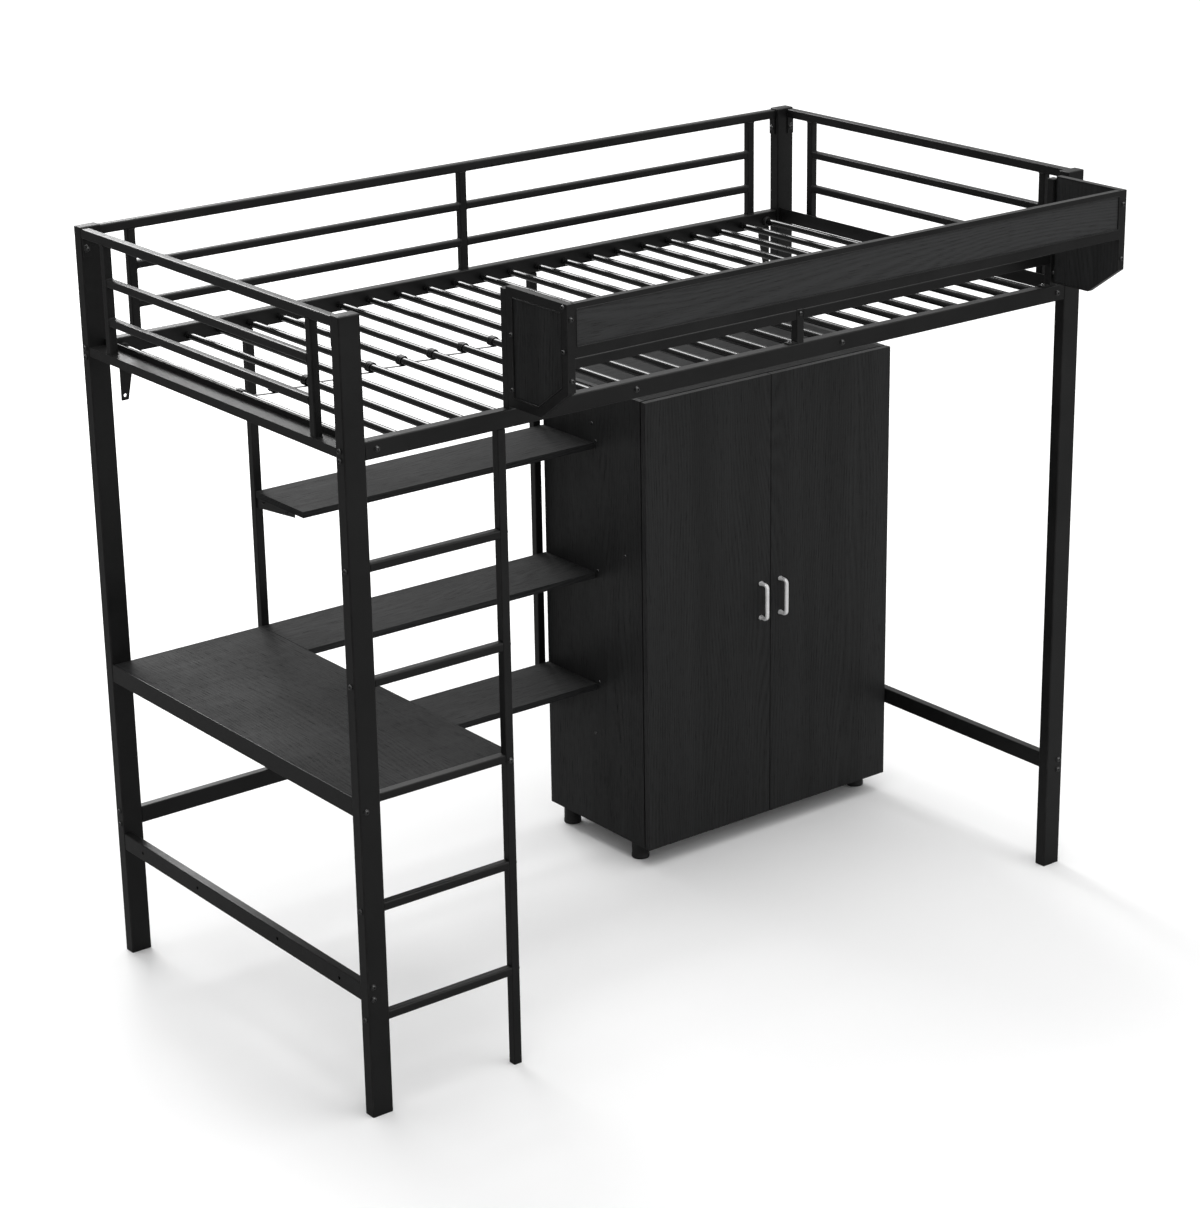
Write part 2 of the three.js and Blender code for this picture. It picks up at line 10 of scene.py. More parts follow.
import bpy
import bmesh
import numpy as np
from mathutils import Matrix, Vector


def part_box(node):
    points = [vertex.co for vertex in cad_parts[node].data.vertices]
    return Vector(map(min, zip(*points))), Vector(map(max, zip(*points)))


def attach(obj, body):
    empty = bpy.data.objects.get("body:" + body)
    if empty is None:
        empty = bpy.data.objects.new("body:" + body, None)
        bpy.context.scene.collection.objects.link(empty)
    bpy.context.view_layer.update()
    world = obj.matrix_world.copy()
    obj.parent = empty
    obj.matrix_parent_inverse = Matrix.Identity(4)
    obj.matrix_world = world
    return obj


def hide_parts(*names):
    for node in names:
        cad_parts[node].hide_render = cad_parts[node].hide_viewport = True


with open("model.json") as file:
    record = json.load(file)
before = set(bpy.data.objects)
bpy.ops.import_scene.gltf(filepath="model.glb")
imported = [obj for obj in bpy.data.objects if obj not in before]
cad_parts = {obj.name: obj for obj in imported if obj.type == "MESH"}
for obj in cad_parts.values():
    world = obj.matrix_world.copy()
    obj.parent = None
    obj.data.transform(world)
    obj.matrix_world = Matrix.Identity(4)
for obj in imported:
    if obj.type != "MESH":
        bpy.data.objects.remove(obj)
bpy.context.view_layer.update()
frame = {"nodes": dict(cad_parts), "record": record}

MM = 0.001
FRONT_LEFT_CORNER = np.array(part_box("post_front_left")[0])

STEEL, BRIGHT = "black_powder_coat", "silver_aluminium"
ZINC, PLASTIC = "zinc_plated_steel", "black_plastic"

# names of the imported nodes, by what they are made of
SHELVES = ("shelf_low", "shelf_desk_level", "shelf_top")
POSTS = ("post_front_left", "post_front_right", "post_rear_left", "post_rear_right")
END_GUARDS = ("guard_end_left", "guard_end_right")
LONG_GRAIN_X = SHELVES + ("wardrobe_shelf", "wardrobe_top", "wardrobe_bottom")
LONG_GRAIN_Y = ("desk_top",)
FRONT_BOARD = ("guard_front_board",)
LONG_GRAIN_Z = ("wardrobe_side_left", "wardrobe_side_right", "guard_side_board_left",
                "guard_side_board_right", "door_left", "door_right")


# ---------------------------------------------------------------- places

def at(x, y, z):
    """A point in metres, from millimetres counted from the frame's outer front left corner at the floor."""
    return FRONT_LEFT_CORNER + np.array([x, y, z], float) * MM


def span(node):
    """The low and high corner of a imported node, in millimetres from the same corner."""
    low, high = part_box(node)
    return (np.array(low) - FRONT_LEFT_CORNER) / MM, (np.array(high) - FRONT_LEFT_CORNER) / MM


def facing(direction):
    """Three unit axes, one per row, the last of them along the direction."""
    out = np.array(direction, float)
    aside = np.array([0.0, 0.0, 1.0]) if abs(out[2]) < 0.9 else np.array([1.0, 0.0, 0.0])
    first = np.cross(aside, out)
    first /= np.linalg.norm(first)
    return np.array([first, np.cross(out, first), out])


LEFT, RIGHT, FRONT, REAR, DOWN, UP = (-1, 0, 0), (1, 0, 0), (0, -1, 0), (0, 1, 0), (0, 0, -1), (0, 0, 1)


# ---------------------------------------------------------------- shapes as grids of points

SAME_POINT = 2e-6
NO_LENGTH = 1e-7


def revolved(profile, sides=24):
    """A profile of (radius, height) turned about the third axis: a row is one height, a column one angle."""
    profile = np.array(profile, float)
    angle = np.linspace(0, 2 * np.pi, sides, endpoint=False)
    circle = np.stack([np.cos(angle), np.sin(angle)], -1)
    rings = profile[:, 0, None, None] * circle[None]
    heights = np.broadcast_to(profile[:, 1, None, None], rings.shape[:2] + (1,))
    return np.concatenate([rings, heights], -1)


def rounded_section(wide, high, radius, steps=4):
    """A rectangle with rounded corners, as points round its middle: each corner is a quarter circle."""
    turn = np.linspace(0, np.pi / 2, steps + 1)
    centres = np.array([[1, 1], [-1, 1], [-1, -1], [1, -1]]) * [wide / 2 - radius, high / 2 - radius]
    starts = np.arange(4) * np.pi / 2
    angle = starts[:, None] + turn[None]
    arcs = centres[:, None] + radius * np.stack([np.cos(angle), np.sin(angle)], -1)
    return arcs.reshape(-1, 2)


def carried(section, path, across, loop=False):
    """A section carried along a path that lies in a plane.

    Each point is path + u * side + v * across, where across is the plane's own normal and side is square to
    it and to the path's direction. An open path is closed at both ends by a ring drawn in to the path's end.
    """
    path = np.array(path, float)
    if loop:
        ahead = np.roll(path, -1, axis=0) - np.roll(path, 1, axis=0)
    else:
        ahead = np.gradient(path, axis=0)
    ahead /= np.linalg.norm(ahead, axis=1, keepdims=True)
    across = np.array(across, float)
    side = np.cross(ahead, across)
    section = np.array(section, float)
    if section.ndim == 2:
        section = np.broadcast_to(section, (len(path),) + section.shape)
    grid = path[:, None] + section[..., :1] * side[:, None] + section[..., 1:] * across
    if loop:
        return grid
    ends = [np.repeat(path[end][None, None], grid.shape[1], axis=1) for end in (0, -1)]
    return np.concatenate([ends[0], grid, ends[1]])


def placed(grid, places):
    """Copies of a grid: a place is (point, direction), and the third axis is turned to the direction."""
    return [np.array(point) + grid @ facing(direction) for point, direction in places]


def put(name, grids, material, body="frame", loop=False, sharp=35):
    """One piece from grids of points whose columns close on themselves, riding on a body."""
    points, faces, count = [], [], 0
    for grid in grids:
        rows, columns = grid.shape[:2]
        row = np.arange(rows if loop else rows - 1)[:, None] * np.ones(columns, int)[None]
        column = np.arange(columns)[None] + 0 * row
        ahead, beside = (row + 1) % rows, (column + 1) % columns
        here, there = row * columns, ahead * columns
        corners = [here + column, here + beside, there + beside, there + column]
        faces.append(np.stack(corners, -1).reshape(-1, 4) + count)
        points.append(grid.reshape(-1, 3))
        count += rows * columns
    mesh = bpy.data.meshes.new(name)
    mesh.from_pydata(np.concatenate(points), [], np.concatenate(faces))
    whole = bmesh.new()
    whole.from_mesh(mesh)
    bmesh.ops.remove_doubles(whole, verts=whole.verts, dist=SAME_POINT)
    bmesh.ops.dissolve_degenerate(whole, edges=whole.edges, dist=NO_LENGTH)
    bmesh.ops.recalc_face_normals(whole, faces=whole.faces)
    whole.to_mesh(mesh)
    whole.free()
    mesh.shade_smooth()
    mesh.set_sharp_from_angle(angle=math.radians(sharp))
    mesh.materials.append(material)
    piece = bpy.data.objects.new(name, mesh)
    bpy.context.scene.collection.objects.link(piece)
    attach(piece, body)
    return piece


# ---------------------------------------------------------------- shader building

def add(tree, kind, inputs=None, **settings):
    """A shader node. Each input is given by name or number, as a value or as the socket that feeds it."""
    made = tree.nodes.new("ShaderNode" + kind)
    for key, value in settings.items():
        setattr(made, key, value)
    for key, value in (inputs or {}).items():
        if isinstance(value, bpy.types.NodeSocket):
            tree.links.new(value, made.inputs[key])
        else:
            made.inputs[key].default_value = value
    return made


def maths(tree, operation, first, second):
    return add(tree, "Math", {0: first, 1: second}, operation=operation).outputs[0]


def spread(tree, value, low, high, to_low=0.0, to_high=1.0):
    """The value's stretch from low to high becomes to_low to to_high, and is held there outside it."""
    inputs = {"Value": value, "From Min": low, "From Max": high, "To Min": to_low, "To Max": to_high}
    return add(tree, "MapRange", inputs).outputs["Result"]


def blend_numbers(tree, share, first, second):
    return add(tree, "Mix", {0: share, 2: first, 3: second}).outputs[0]


def blend_colours(tree, share, first, second):
    return add(tree, "Mix", {0: share, 6: first, 7: second}, data_type="RGBA").outputs[2]


def noise(tree, vector, scale, detail=2.0, roughness=0.5, distortion=0.0):
    inputs = {"Vector": vector, "Scale": scale, "Detail": detail, "Roughness": roughness}
    inputs["Distortion"] = distortion
    return add(tree, "TexNoise", inputs).outputs["Fac"]


def new_group(name, inputs, outputs):
    """An empty shader group with named number or vector sockets: the group, its way in and its way out."""
    group = bpy.data.node_groups.new(name, "ShaderNodeTree")
    for label, kind, value in inputs:
        socket = group.interface.new_socket(label, in_out="INPUT", socket_type="NodeSocket" + kind)
        if kind == "Float":
            socket.default_value = value
    for label in outputs:
        group.interface.new_socket(label, in_out="OUTPUT", socket_type="NodeSocketFloat")
    return group, group.nodes.new("NodeGroupInput").outputs, group.nodes.new("NodeGroupOutput").inputs


def use_group(tree, group, **inputs):
    """The outputs of a shader group placed in a material. Its inputs are given by name in lower case."""
    named = {key.capitalize(): value for key, value in inputs.items()}
    return add(tree, "Group", named, node_tree=group).outputs


def make_fine_texture():
    """The skin of a sprayed or moulded surface: rounded bumps of the stated size, with finer grit on them."""
    inputs = [("Place", "Vector", None), ("Size", "Float", 0.0015)]
    group, given, out = new_group("fine_texture", inputs, ["Height"])
    often = maths(group, "DIVIDE", 1.0, given["Size"])
    bumps = noise(group, given["Place"], often, detail=1.0)
    grit = noise(group, given["Place"], maths(group, "MULTIPLY", often, 4.0), detail=2.0)
    total = maths(group, "ADD", bumps, maths(group, "MULTIPLY", grit, 0.35))
    group.links.new(total, out["Height"])
    return group


def make_handling_marks():
    """Where hands and cloths have passed: soft clouds about a hand wide, with faint long wipes in them."""
    inputs = [("Place", "Vector", None), ("Size", "Float", 0.12)]
    group, given, out = new_group("handling_marks", inputs, ["Clouds", "Wipes"])
    often = maths(group, "DIVIDE", 1.0, given["Size"])
    clouds = noise(group, given["Place"], often, detail=4.0, roughness=0.6)
    group.links.new(spread(group, clouds, 0.35, 0.68), out["Clouds"])
    aslant = {"Vector": given["Place"], "Rotation": (0.3, 0.2, 0.5), "Scale": (1.0, 9.0, 9.0)}
    longer = add(group, "Mapping", aslant).outputs[0]
    wipes = noise(group, longer, maths(group, "MULTIPLY", often, 1.6), detail=5.0, roughness=0.65)
    group.links.new(spread(group, wipes, 0.45, 0.75), out["Wipes"])
    return group


def make_worn_edges():
    """Edges that have been rubbed: how far the surface turns within the width, broken up by a noise."""
    inputs = [("Place", "Vector", None), ("Width", "Float", 0.0015), ("Patch", "Float", 0.03)]
    group, given, out = new_group("worn_edges", inputs, ["Mask"])
    turned = add(group, "Bevel", {"Radius": given["Width"]}, samples=4).outputs[0]
    straight = add(group, "NewGeometry").outputs["Normal"]
    same = add(group, "VectorMath", {0: turned, 1: straight}, operation="DOT_PRODUCT").outputs["Value"]
    edge = spread(group, same, 0.995, 0.86)
    often = maths(group, "DIVIDE", 1.0, given["Patch"])
    patches = noise(group, given["Place"], often, detail=6.0, roughness=0.7)
    rubbed = maths(group, "MULTIPLY", edge, spread(group, patches, 0.46, 0.66))
    group.links.new(rubbed, out["Mask"])
    return group


def make_settled_dust():
    """Dust on what faces up: the upward share of the surface's own direction, thinned by a fine noise."""
    inputs = [("Place", "Vector", None), ("Facing", "Vector", None)]
    group, given, out = new_group("settled_dust", inputs, ["Mask"])
    up = add(group, "SeparateXYZ", {"Vector": given["Facing"]}).outputs["Z"]
    lying = spread(group, up, 0.6, 0.98)
    coarse = noise(group, given["Place"], 9.0, detail=3.0)
    specks = noise(group, given["Place"], 700.0, detail=2.0)
    thin = maths(group, "MULTIPLY", spread(group, coarse, 0.3, 0.75), spread(group, specks, 0.45, 0.75))
    group.links.new(maths(group, "MULTIPLY", lying, thin), out["Mask"])
    return group


def make_wood_grain():
    """Pressed oak grain that runs along the first axis of the place given.

    Figure: the level lines of a noise stretched along the grain, which close into long arches.
    Pores: a fine noise stretched far more, so that only short dark dashes are left of it.
    Bands: slow changes of tone from one strip of the board to the next.
    """
    inputs = [("Place", "Vector", None), ("Seed", "Float", 0.0)]
    group, given, out = new_group("wood_grain", inputs, ["Figure", "Pores", "Bands", "Height"])
    seed = given["Seed"]
    lower = maths(group, "MULTIPLY", seed, 0.37)
    shift = add(group, "CombineXYZ", {"X": seed, "Y": seed, "Z": lower}).outputs[0]
    moved = add(group, "VectorMath", {0: given["Place"], 1: shift}, operation="ADD").outputs[0]

    def stretched(along, around):
        return add(group, "Mapping", {"Vector": moved, "Scale": (along, around, around)}).outputs[0]

    slow = noise(group, stretched(0.8, 5.0), 1.0, detail=1.5, roughness=0.35, distortion=0.1)
    split = add(group, "SeparateXYZ", {"Vector": moved})
    across = maths(group, "ADD", split.outputs["Y"], split.outputs["Z"])
    level = maths(group, "MULTIPLY", slow, 34.0)
    lines = maths(group, "ADD", level, maths(group, "MULTIPLY", across, 130.0))
    arches = maths(group, "PINGPONG", lines, 0.5)
    figure = spread(group, arches, 0.02, 0.42, 1.0, 0.0)
    fibres = noise(group, stretched(15.0, 330.0), 1.0, detail=3.0, roughness=0.6)
    broken = maths(group, "MULTIPLY", figure, spread(group, fibres, 0.3, 0.6, 0.25, 1.0))
    dashes = noise(group, stretched(24.0, 620.0), 1.0, detail=3.0, roughness=0.55)
    pores = spread(group, dashes, 0.54, 0.66)
    in_figure = maths(group, "MULTIPLY", pores, spread(group, figure, 0.0, 1.0, 0.45, 1.0))
    bands = noise(group, stretched(0.6, 14.0), 1.0, detail=4.0, roughness=0.6)
    shallow = maths(group, "MULTIPLY", broken, 0.45)
    depth = maths(group, "ADD", maths(group, "MULTIPLY", in_figure, 0.8), shallow)
    group.links.new(broken, out["Figure"])
    group.links.new(in_figure, out["Pores"])
    group.links.new(spread(group, bands, 0.3, 0.7), out["Bands"])
    group.links.new(maths(group, "SUBTRACT", 1.0, depth), out["Height"])
    return group


FINE_TEXTURE = make_fine_texture()
HANDLING_MARKS = make_handling_marks()
WORN_EDGES = make_worn_edges()
SETTLED_DUST = make_settled_dust()
WOOD_GRAIN = make_wood_grain()


def grey(level, warmth=0.0):
    return (level * (1 + warmth), level, level * (1 - warmth), 1.0)


def start_material(name, colour):
    """A new material: its tree, its Principled shader, and the sockets of place and facing on the object."""
    material = bpy.data.materials.new(name)
    material.use_nodes = True
    material.diffuse_color = colour
    tree = material.node_tree
    where = tree.nodes.new("ShaderNodeTexCoord").outputs
    return material, tree, tree.nodes["Principled BSDF"], where["Object"], where["Normal"]


def surface(tree, shader, colour, roughness, height, depth):
    """Links colour and roughness to the shader, and a height, whose full range is the depth in metres."""
    relief = add(tree, "Bump", {"Height": height, "Distance": depth, "Strength": 1.0}).outputs[0]
    for label, socket in (("Base Color", colour), ("Roughness", roughness), ("Normal", relief)):
        tree.links.new(socket, shader.inputs[label])


# ---------------------------------------------------------------- finishes

def sprayed_steel(name, tone, low_gloss, high_gloss, bump_size, bump_depth, worn_tone):
    """Powder coat on steel: pebbled skin, uneven sheen, rubbed edges and a little dust on top faces."""
    material, tree, shader, place, direction = start_material(name, grey(tone))
    marks = use_group(tree, HANDLING_MARKS, place=place, size=0.16)
    skin = use_group(tree, FINE_TEXTURE, place=place, size=bump_size)
    worn = use_group(tree, WORN_EDGES, place=place, width=0.0014, patch=0.035)
    dust = use_group(tree, SETTLED_DUST, place=place, facing=direction)
    coat = blend_colours(tree, marks["Clouds"], grey(tone * 0.82), grey(tone * 1.2))
    rubbed = blend_colours(tree, maths(tree, "MULTIPLY", worn["Mask"], 0.75), coat, grey(worn_tone, 0.02))
    dusty = blend_colours(tree, maths(tree, "MULTIPLY", dust["Mask"], 0.12), rubbed, grey(0.30, 0.04))
    sheen = maths(tree, "ADD", spread(tree, marks["Clouds"], 0.0, 1.0, low_gloss, high_gloss),
                  maths(tree, "MULTIPLY", marks["Wipes"], -0.07))
    dulled = maths(tree, "ADD", sheen, maths(tree, "MULTIPLY", dust["Mask"], 0.2))
    surface(tree, shader, dusty, dulled, skin["Height"], bump_depth)
    shader.inputs["Specular IOR Level"].default_value = 0.36
    return material


def laminate(name, turn, dark, light, seed, shine, dull, streaks):
    """Black laminate with a pressed oak grain.

    turn lays the grain along one axis, shine is the strength of the gloss, dull the least roughness, and
    streaks how far the bands depart from the light tone.
    """
    material, tree, shader, place, direction = start_material(name, grey(light))
    along = add(tree, "Mapping", {"Vector": place, "Rotation": turn}).outputs[0]
    grain = use_group(tree, WOOD_GRAIN, place=along, seed=seed)
    marks = use_group(tree, HANDLING_MARKS, place=place, size=0.22)
    worn = use_group(tree, WORN_EDGES, place=place, width=0.0012, patch=0.05)
    dust = use_group(tree, SETTLED_DUST, place=place, facing=direction)
    deep, pale = grey(light * (1 - streaks), -0.02), grey(light * (1 + streaks), -0.02)
    ground = blend_colours(tree, grain["Bands"], deep, pale)
    figured = blend_colours(tree, maths(tree, "MULTIPLY", grain["Figure"], 0.55), ground, grey(dark, -0.01))
    pored = blend_colours(tree, maths(tree, "MULTIPLY", grain["Pores"], 0.8), figured, grey(dark * 0.55))
    edged = blend_colours(tree, maths(tree, "MULTIPLY", worn["Mask"], 0.22), pored, grey(0.08, 0.03))
    dusty = blend_colours(tree, maths(tree, "MULTIPLY", dust["Mask"], 0.10), edged, grey(0.30, 0.04))
    sheen = spread(tree, marks["Clouds"], 0.0, 1.0, dull, dull + 0.12)
    pitted = maths(tree, "ADD", sheen, maths(tree, "MULTIPLY", grain["Pores"], 0.22))
    wiped = maths(tree, "ADD", pitted, maths(tree, "MULTIPLY", marks["Wipes"], -0.06))
    surface(tree, shader, dusty, wiped, grain["Height"], PORE_DEPTH)
    shader.inputs["Specular IOR Level"].default_value = shine
    return material


def painted_hardboard():
    """The wardrobe's back: black painted fibre board with a fine pressed skin."""
    material, tree, shader, place, _ = start_material("black_hardboard", grey(0.022))
    marks = use_group(tree, HANDLING_MARKS, place=place, size=0.3)
    skin = use_group(tree, FINE_TEXTURE, place=place, size=0.0022)
    tone = blend_colours(tree, marks["Clouds"], grey(0.018, 0.03), grey(0.030, 0.03))
    sheen = spread(tree, marks["Wipes"], 0.0, 1.0, 0.72, 0.58)
    surface(tree, shader, tone, sheen, skin["Height"], 0.0002)
    shader.inputs["Specular IOR Level"].default_value = 0.3
    return material


def moulded_plastic():
    """Black moulded plastic: a fine spark-eroded skin and rubbed edges."""
    material, tree, shader, place, _ = start_material("moulded_plastic", grey(0.012))
    marks = use_group(tree, HANDLING_MARKS, place=place, size=0.03)
    skin = use_group(tree, FINE_TEXTURE, place=place, size=0.0008)
    worn = use_group(tree, WORN_EDGES, place=place, width=0.0008, patch=0.012)
    body = blend_colours(tree, marks["Clouds"], grey(0.009), grey(0.016))
    tone = blend_colours(tree, maths(tree, "MULTIPLY", worn["Mask"], 0.5), body, grey(0.07))
    sheen = spread(tree, marks["Wipes"], 0.0, 1.0, 0.52, 0.38)
    surface(tree, shader, tone, sheen, skin["Height"], 0.00008)
    shader.inputs["Specular IOR Level"].default_value = 0.42
    return material


def bare_metal(name, tone, metal_rough, line_turn, warmth=0.0, metal=1.0):
    """Satin or plated metal: fine drawn lines along one axis, and finger marks."""
    material, tree, shader, place, _ = start_material(name, grey(tone, warmth))
    marks = use_group(tree, HANDLING_MARKS, place=place, size=0.025)
    lined = add(tree, "Mapping", {"Vector": place, "Rotation": line_turn, "Scale": (30.0, 2600.0, 2600.0)})
    lines = noise(tree, lined.outputs[0], 1.0, detail=3.0, roughness=0.7)
    body = blend_colours(tree, marks["Clouds"], grey(tone * 0.88, warmth), grey(tone, warmth))
    sheen = maths(tree, "ADD", spread(tree, lines, 0.3, 0.7, metal_rough - 0.06, metal_rough + 0.08),
                  maths(tree, "MULTIPLY", marks["Wipes"], 0.10))
    surface(tree, shader, body, sheen, lines, 0.00002)
    shader.inputs["Metallic"].default_value = metal
    return material


PORE_DEPTH = 0.00014
GRAIN_ALONG_X = (0.0, 0.0, 0.0)
GRAIN_ALONG_Y = (0.0, 0.0, -math.pi / 2)
GRAIN_ALONG_Z = (0.0, math.pi / 2, 0.0)

powder_coat = sprayed_steel("powder_coat", 0.0060, 0.32, 0.44, 0.0016, 0.00010, 0.06)
slat_paint = sprayed_steel("slat_paint", 0.006, 0.10, 0.17, 0.0030, 0.00003, 0.05)
bolt_black = bare_metal("black_zinc", 0.15, 0.24, GRAIN_ALONG_X)
board_x = laminate("laminate_along_x", GRAIN_ALONG_X, 0.0045, 0.0180, 1.7, 0.10, 0.58, 0.14)
board_y = laminate("laminate_along_y", GRAIN_ALONG_Y, 0.0035, 0.0170, 4.1, 0.10, 0.58, 0.18)
board_z = laminate("laminate_along_z", GRAIN_ALONG_Z, 0.0035, 0.0145, 7.3, 0.32, 0.44, 0.30)
board_front = laminate("laminate_front", GRAIN_ALONG_X, 0.013, 0.029, 2.9, 0.32, 0.44, 0.10)
hardboard = painted_hardboard()
plastic = moulded_plastic()
satin_silver = bare_metal("satin_silver", 0.93, 0.30, GRAIN_ALONG_Z, 0.0, 0.45)
zinc_plate = bare_metal("zinc_plate", 0.60, 0.34, GRAIN_ALONG_Y, 0.01)


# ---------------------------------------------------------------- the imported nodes

JOIN_DISTANCE = 1e-5
SHARPEST_FLAT = math.radians(40)


def finish_node(name, material, edge):
    """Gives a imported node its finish, and rounds its edges by the edge radius in millimetres."""
    node = frame["nodes"][name]
    node.material_slots[0].material = material
    weld = node.modifiers.new("join_triangles", "WELD")
    weld.merge_threshold = JOIN_DISTANCE
    rounding = node.modifiers.new("rounded_edges", "BEVEL")
    rounding.width = edge * MM
    rounding.segments = 2
    rounding.limit_method = "ANGLE"
    rounding.angle_limit = SHARPEST_FLAT
    rounding.harden_normals = True


def finish_nodes():
    boards = {board_x: LONG_GRAIN_X, board_y: LONG_GRAIN_Y, board_z: LONG_GRAIN_Z, board_front: FRONT_BOARD}
    for board, names in boards.items():
        for name in names:
            finish_node(name, board, 0.7)
    finish_node("wardrobe_back", hardboard, 0.3)
    finish_node("clothes_rail", satin_silver, 0.2)
    for name in frame["nodes"]:
        if name.startswith(("hinge_arm", "hinge_cup")):
            finish_node(name, zinc_plate, 0.3)
    for part in frame["record"]["subparts"]:
        if part["material_slot"] == STEEL:
            finish_node(part["node"], powder_coat, 0.35)
        if part["material_slot"] == PLASTIC:
            finish_node(part["node"], plastic, 0.6)


finish_nodes()


# ---------------------------------------------------------------- slats and their tie

SLATS = 24
SLAT_PITCH = 80.0
SLAT_WIDE = 16.0
WIRE_WIDE = 3.6
WIRE_PITCH = 6.6
WIRE_TURNS = 3
EYE_AFTER_SLAT = 21.0


def slat_places():
    """The slats' places along the bed, the two ends they share, and the middle of the slat base."""
    low, high = span("slat_base")
    middle = (low + high) / 2
    along = middle[0] + SLAT_PITCH * (np.arange(SLATS) - (SLATS - 1) / 2)
    return along, low[1], high[1], middle


def make_slats():
    """Round tubes across the bed, each a circle carried along Y and necked down at both ends into a plug."""
    along, front, rear, middle = slat_places()
    radius = SLAT_WIDE / 2
    half = np.array([(0, 0), (radius - 3.0, 0), (radius - 2.2, 0.8), (radius - 2.2, 3.0), (radius - 0.6, 3.2),
                     (radius, 4.2), (radius, 40.0)])
    length = rear - front
    whole = np.concatenate([half, half[::-1] * [1, -1] + [0, length]])
    grid = revolved(whole, 24) * MM
    places = [(at(x, front, middle[2]), REAR) for x in along]
    slats = put("slats", placed(grid, places), slat_paint, sharp=50)
    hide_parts("slat_base")


def make_tie_wire():
    """The wire that ties the slats: wound round each slat, then straight on under them to the next.

    A turn is radius * (cos t, sin t) in the plane across the slat, and moves along it by a pitch a turn. It
    starts and ends below the slat, where its direction is that of the straight run.
    """
    along, _, _, middle = slat_places()
    radius = SLAT_WIDE / 2 + WIRE_WIDE / 2
    turn = np.linspace(0, 2 * np.pi * WIRE_TURNS, WIRE_TURNS * 18 + 1) - np.pi / 2
    drift = np.linspace(-0.5, 0.5, len(turn)) * WIRE_TURNS * WIRE_PITCH
    outward = np.stack([np.cos(turn), 0 * turn, np.sin(turn)], -1)
    wound = radius * outward + np.stack([0 * drift, drift, 0 * drift], -1)
    path = np.concatenate([wound + [x, middle[1], middle[2]] for x in along])
    normal = np.tile(outward, (SLATS, 1))
    ahead = np.gradient(path, axis=0)
    ahead /= np.linalg.norm(ahead, axis=1, keepdims=True)
    side = np.cross(ahead, normal)
    section = rounded_section(WIRE_WIDE, WIRE_WIDE, WIRE_WIDE / 2 - 0.01, 1)[None]
    grid = path[:, None] + section[..., :1] * normal[:, None] + section[..., 1:] * side[:, None]
    ends = [np.repeat(path[end][None, None], grid.shape[1], axis=1) for end in (0, -1)]
    put("tie_wire", [np.concatenate([ends[0], grid, ends[1]]) * MM + at(0, 0, 0)], bolt_black)


def make_tie_eyes():
    """The hooked eyes of the tie: beside each slat a small oval ring, a circle carried round an ellipse."""
    along, _, _, middle = slat_places()
    turn = np.linspace(0, 2 * np.pi, 16, endpoint=False)
    circle = np.stack([4.2 * np.cos(turn), 3.2 * np.sin(turn), 0 * turn], -1)
    ring = carried(rounded_section(2.4, 2.4, 1.19, 1), circle, (0, 0, 1), loop=True)
    low = middle[2] - (SLAT_WIDE + WIRE_WIDE) / 2
    start = WIRE_TURNS * WIRE_PITCH / 2
    aside = middle[1] + start * (1 - 2 * EYE_AFTER_SLAT / SLAT_PITCH)
    rings = [(ring + (x + EYE_AFTER_SLAT, aside, low)) * MM + at(0, 0, 0) for x in along[:-1]]
    put("tie_eyes", rings, bolt_black, loop=True)


# ---------------------------------------------------------------- bolts and screws

def sunk(radius, angle, rows):
    """The wall of a hole: in each row of (share, height) the outline's radius is taken times the share."""
    across, along, flat = radius * np.cos(angle), radius * np.sin(angle), 0 * angle
    return np.array([np.stack([share * across, share * along, flat + height], -1) for share, height in rows])


def socket_head(wide, high, washer, key):
    """A round button head with a six-sided key hole, on a washer. Heights are above the face it sits on.

    The dome is an arc from the head's rim to the hole's rim. In the hole the circle turns into a hexagon,
    whose radius at an angle is half the key over the cosine of the angle from the middle of its side.
    """
    radius = wide / 2
    rise = np.radians(np.linspace(8, 62, 6))
    dome = np.stack([radius * (0.42 + 0.58 * np.cos(rise)), 1.2 + high * np.sin(rise)], -1)
    rim = washer / 2
    outer = revolved([(0, -0.6), (rim, -0.6), (rim, 0.9), (rim - 0.3, 1.2), (radius, 1.2), *dome], 24)
    angle = np.linspace(0, 2 * np.pi, 24, endpoint=False)
    inside = np.abs((angle + np.pi / 6) % (np.pi / 3) - np.pi / 6)
    hexagon = key / 2 / np.cos(inside)
    top = dome[-1, 1]
    rows = [(1.06, top), (1.0, top - 0.3), (0.97, top - 2.0), (0.0, top - 2.3)]
    return np.concatenate([outer, sunk(hexagon, angle, rows)])


def cross_head(wide, high):
    """A countersunk screw head with a cross recess, whose radius swells four times round the circle."""
    radius = wide / 2
    angle = np.linspace(0, 2 * np.pi, 32, endpoint=False)
    cross = 0.16 + 0.34 * np.abs(np.cos(2 * angle)) ** 6
    rim = [(0, -0.5), (radius, -0.5), (radius, 0.2), (radius * 0.82, high * 0.8), (radius * 0.62, high)]
    rows = [(1.0, high), (0.92, high - 0.4), (0.55, high - 1.5), (0.0, high - 1.7)]
    return np.concatenate([revolved(rim, 32), sunk(radius * cross, angle, rows)])


def screwed(name, head, places, material, body="frame"):
    """Heads set on faces: each place is ((x, y, z) in millimetres, direction the head faces)."""
    spots = [(at(*point), direction) for point, direction in places]
    return put(name, placed(head * MM, spots), material, body)


# along the long rails, and above and below the middle of the end rails
LONG_RAIL_BOLTS = (77, 718, 1283, 1938)
END_RAIL_BOLTS = (7, -13)
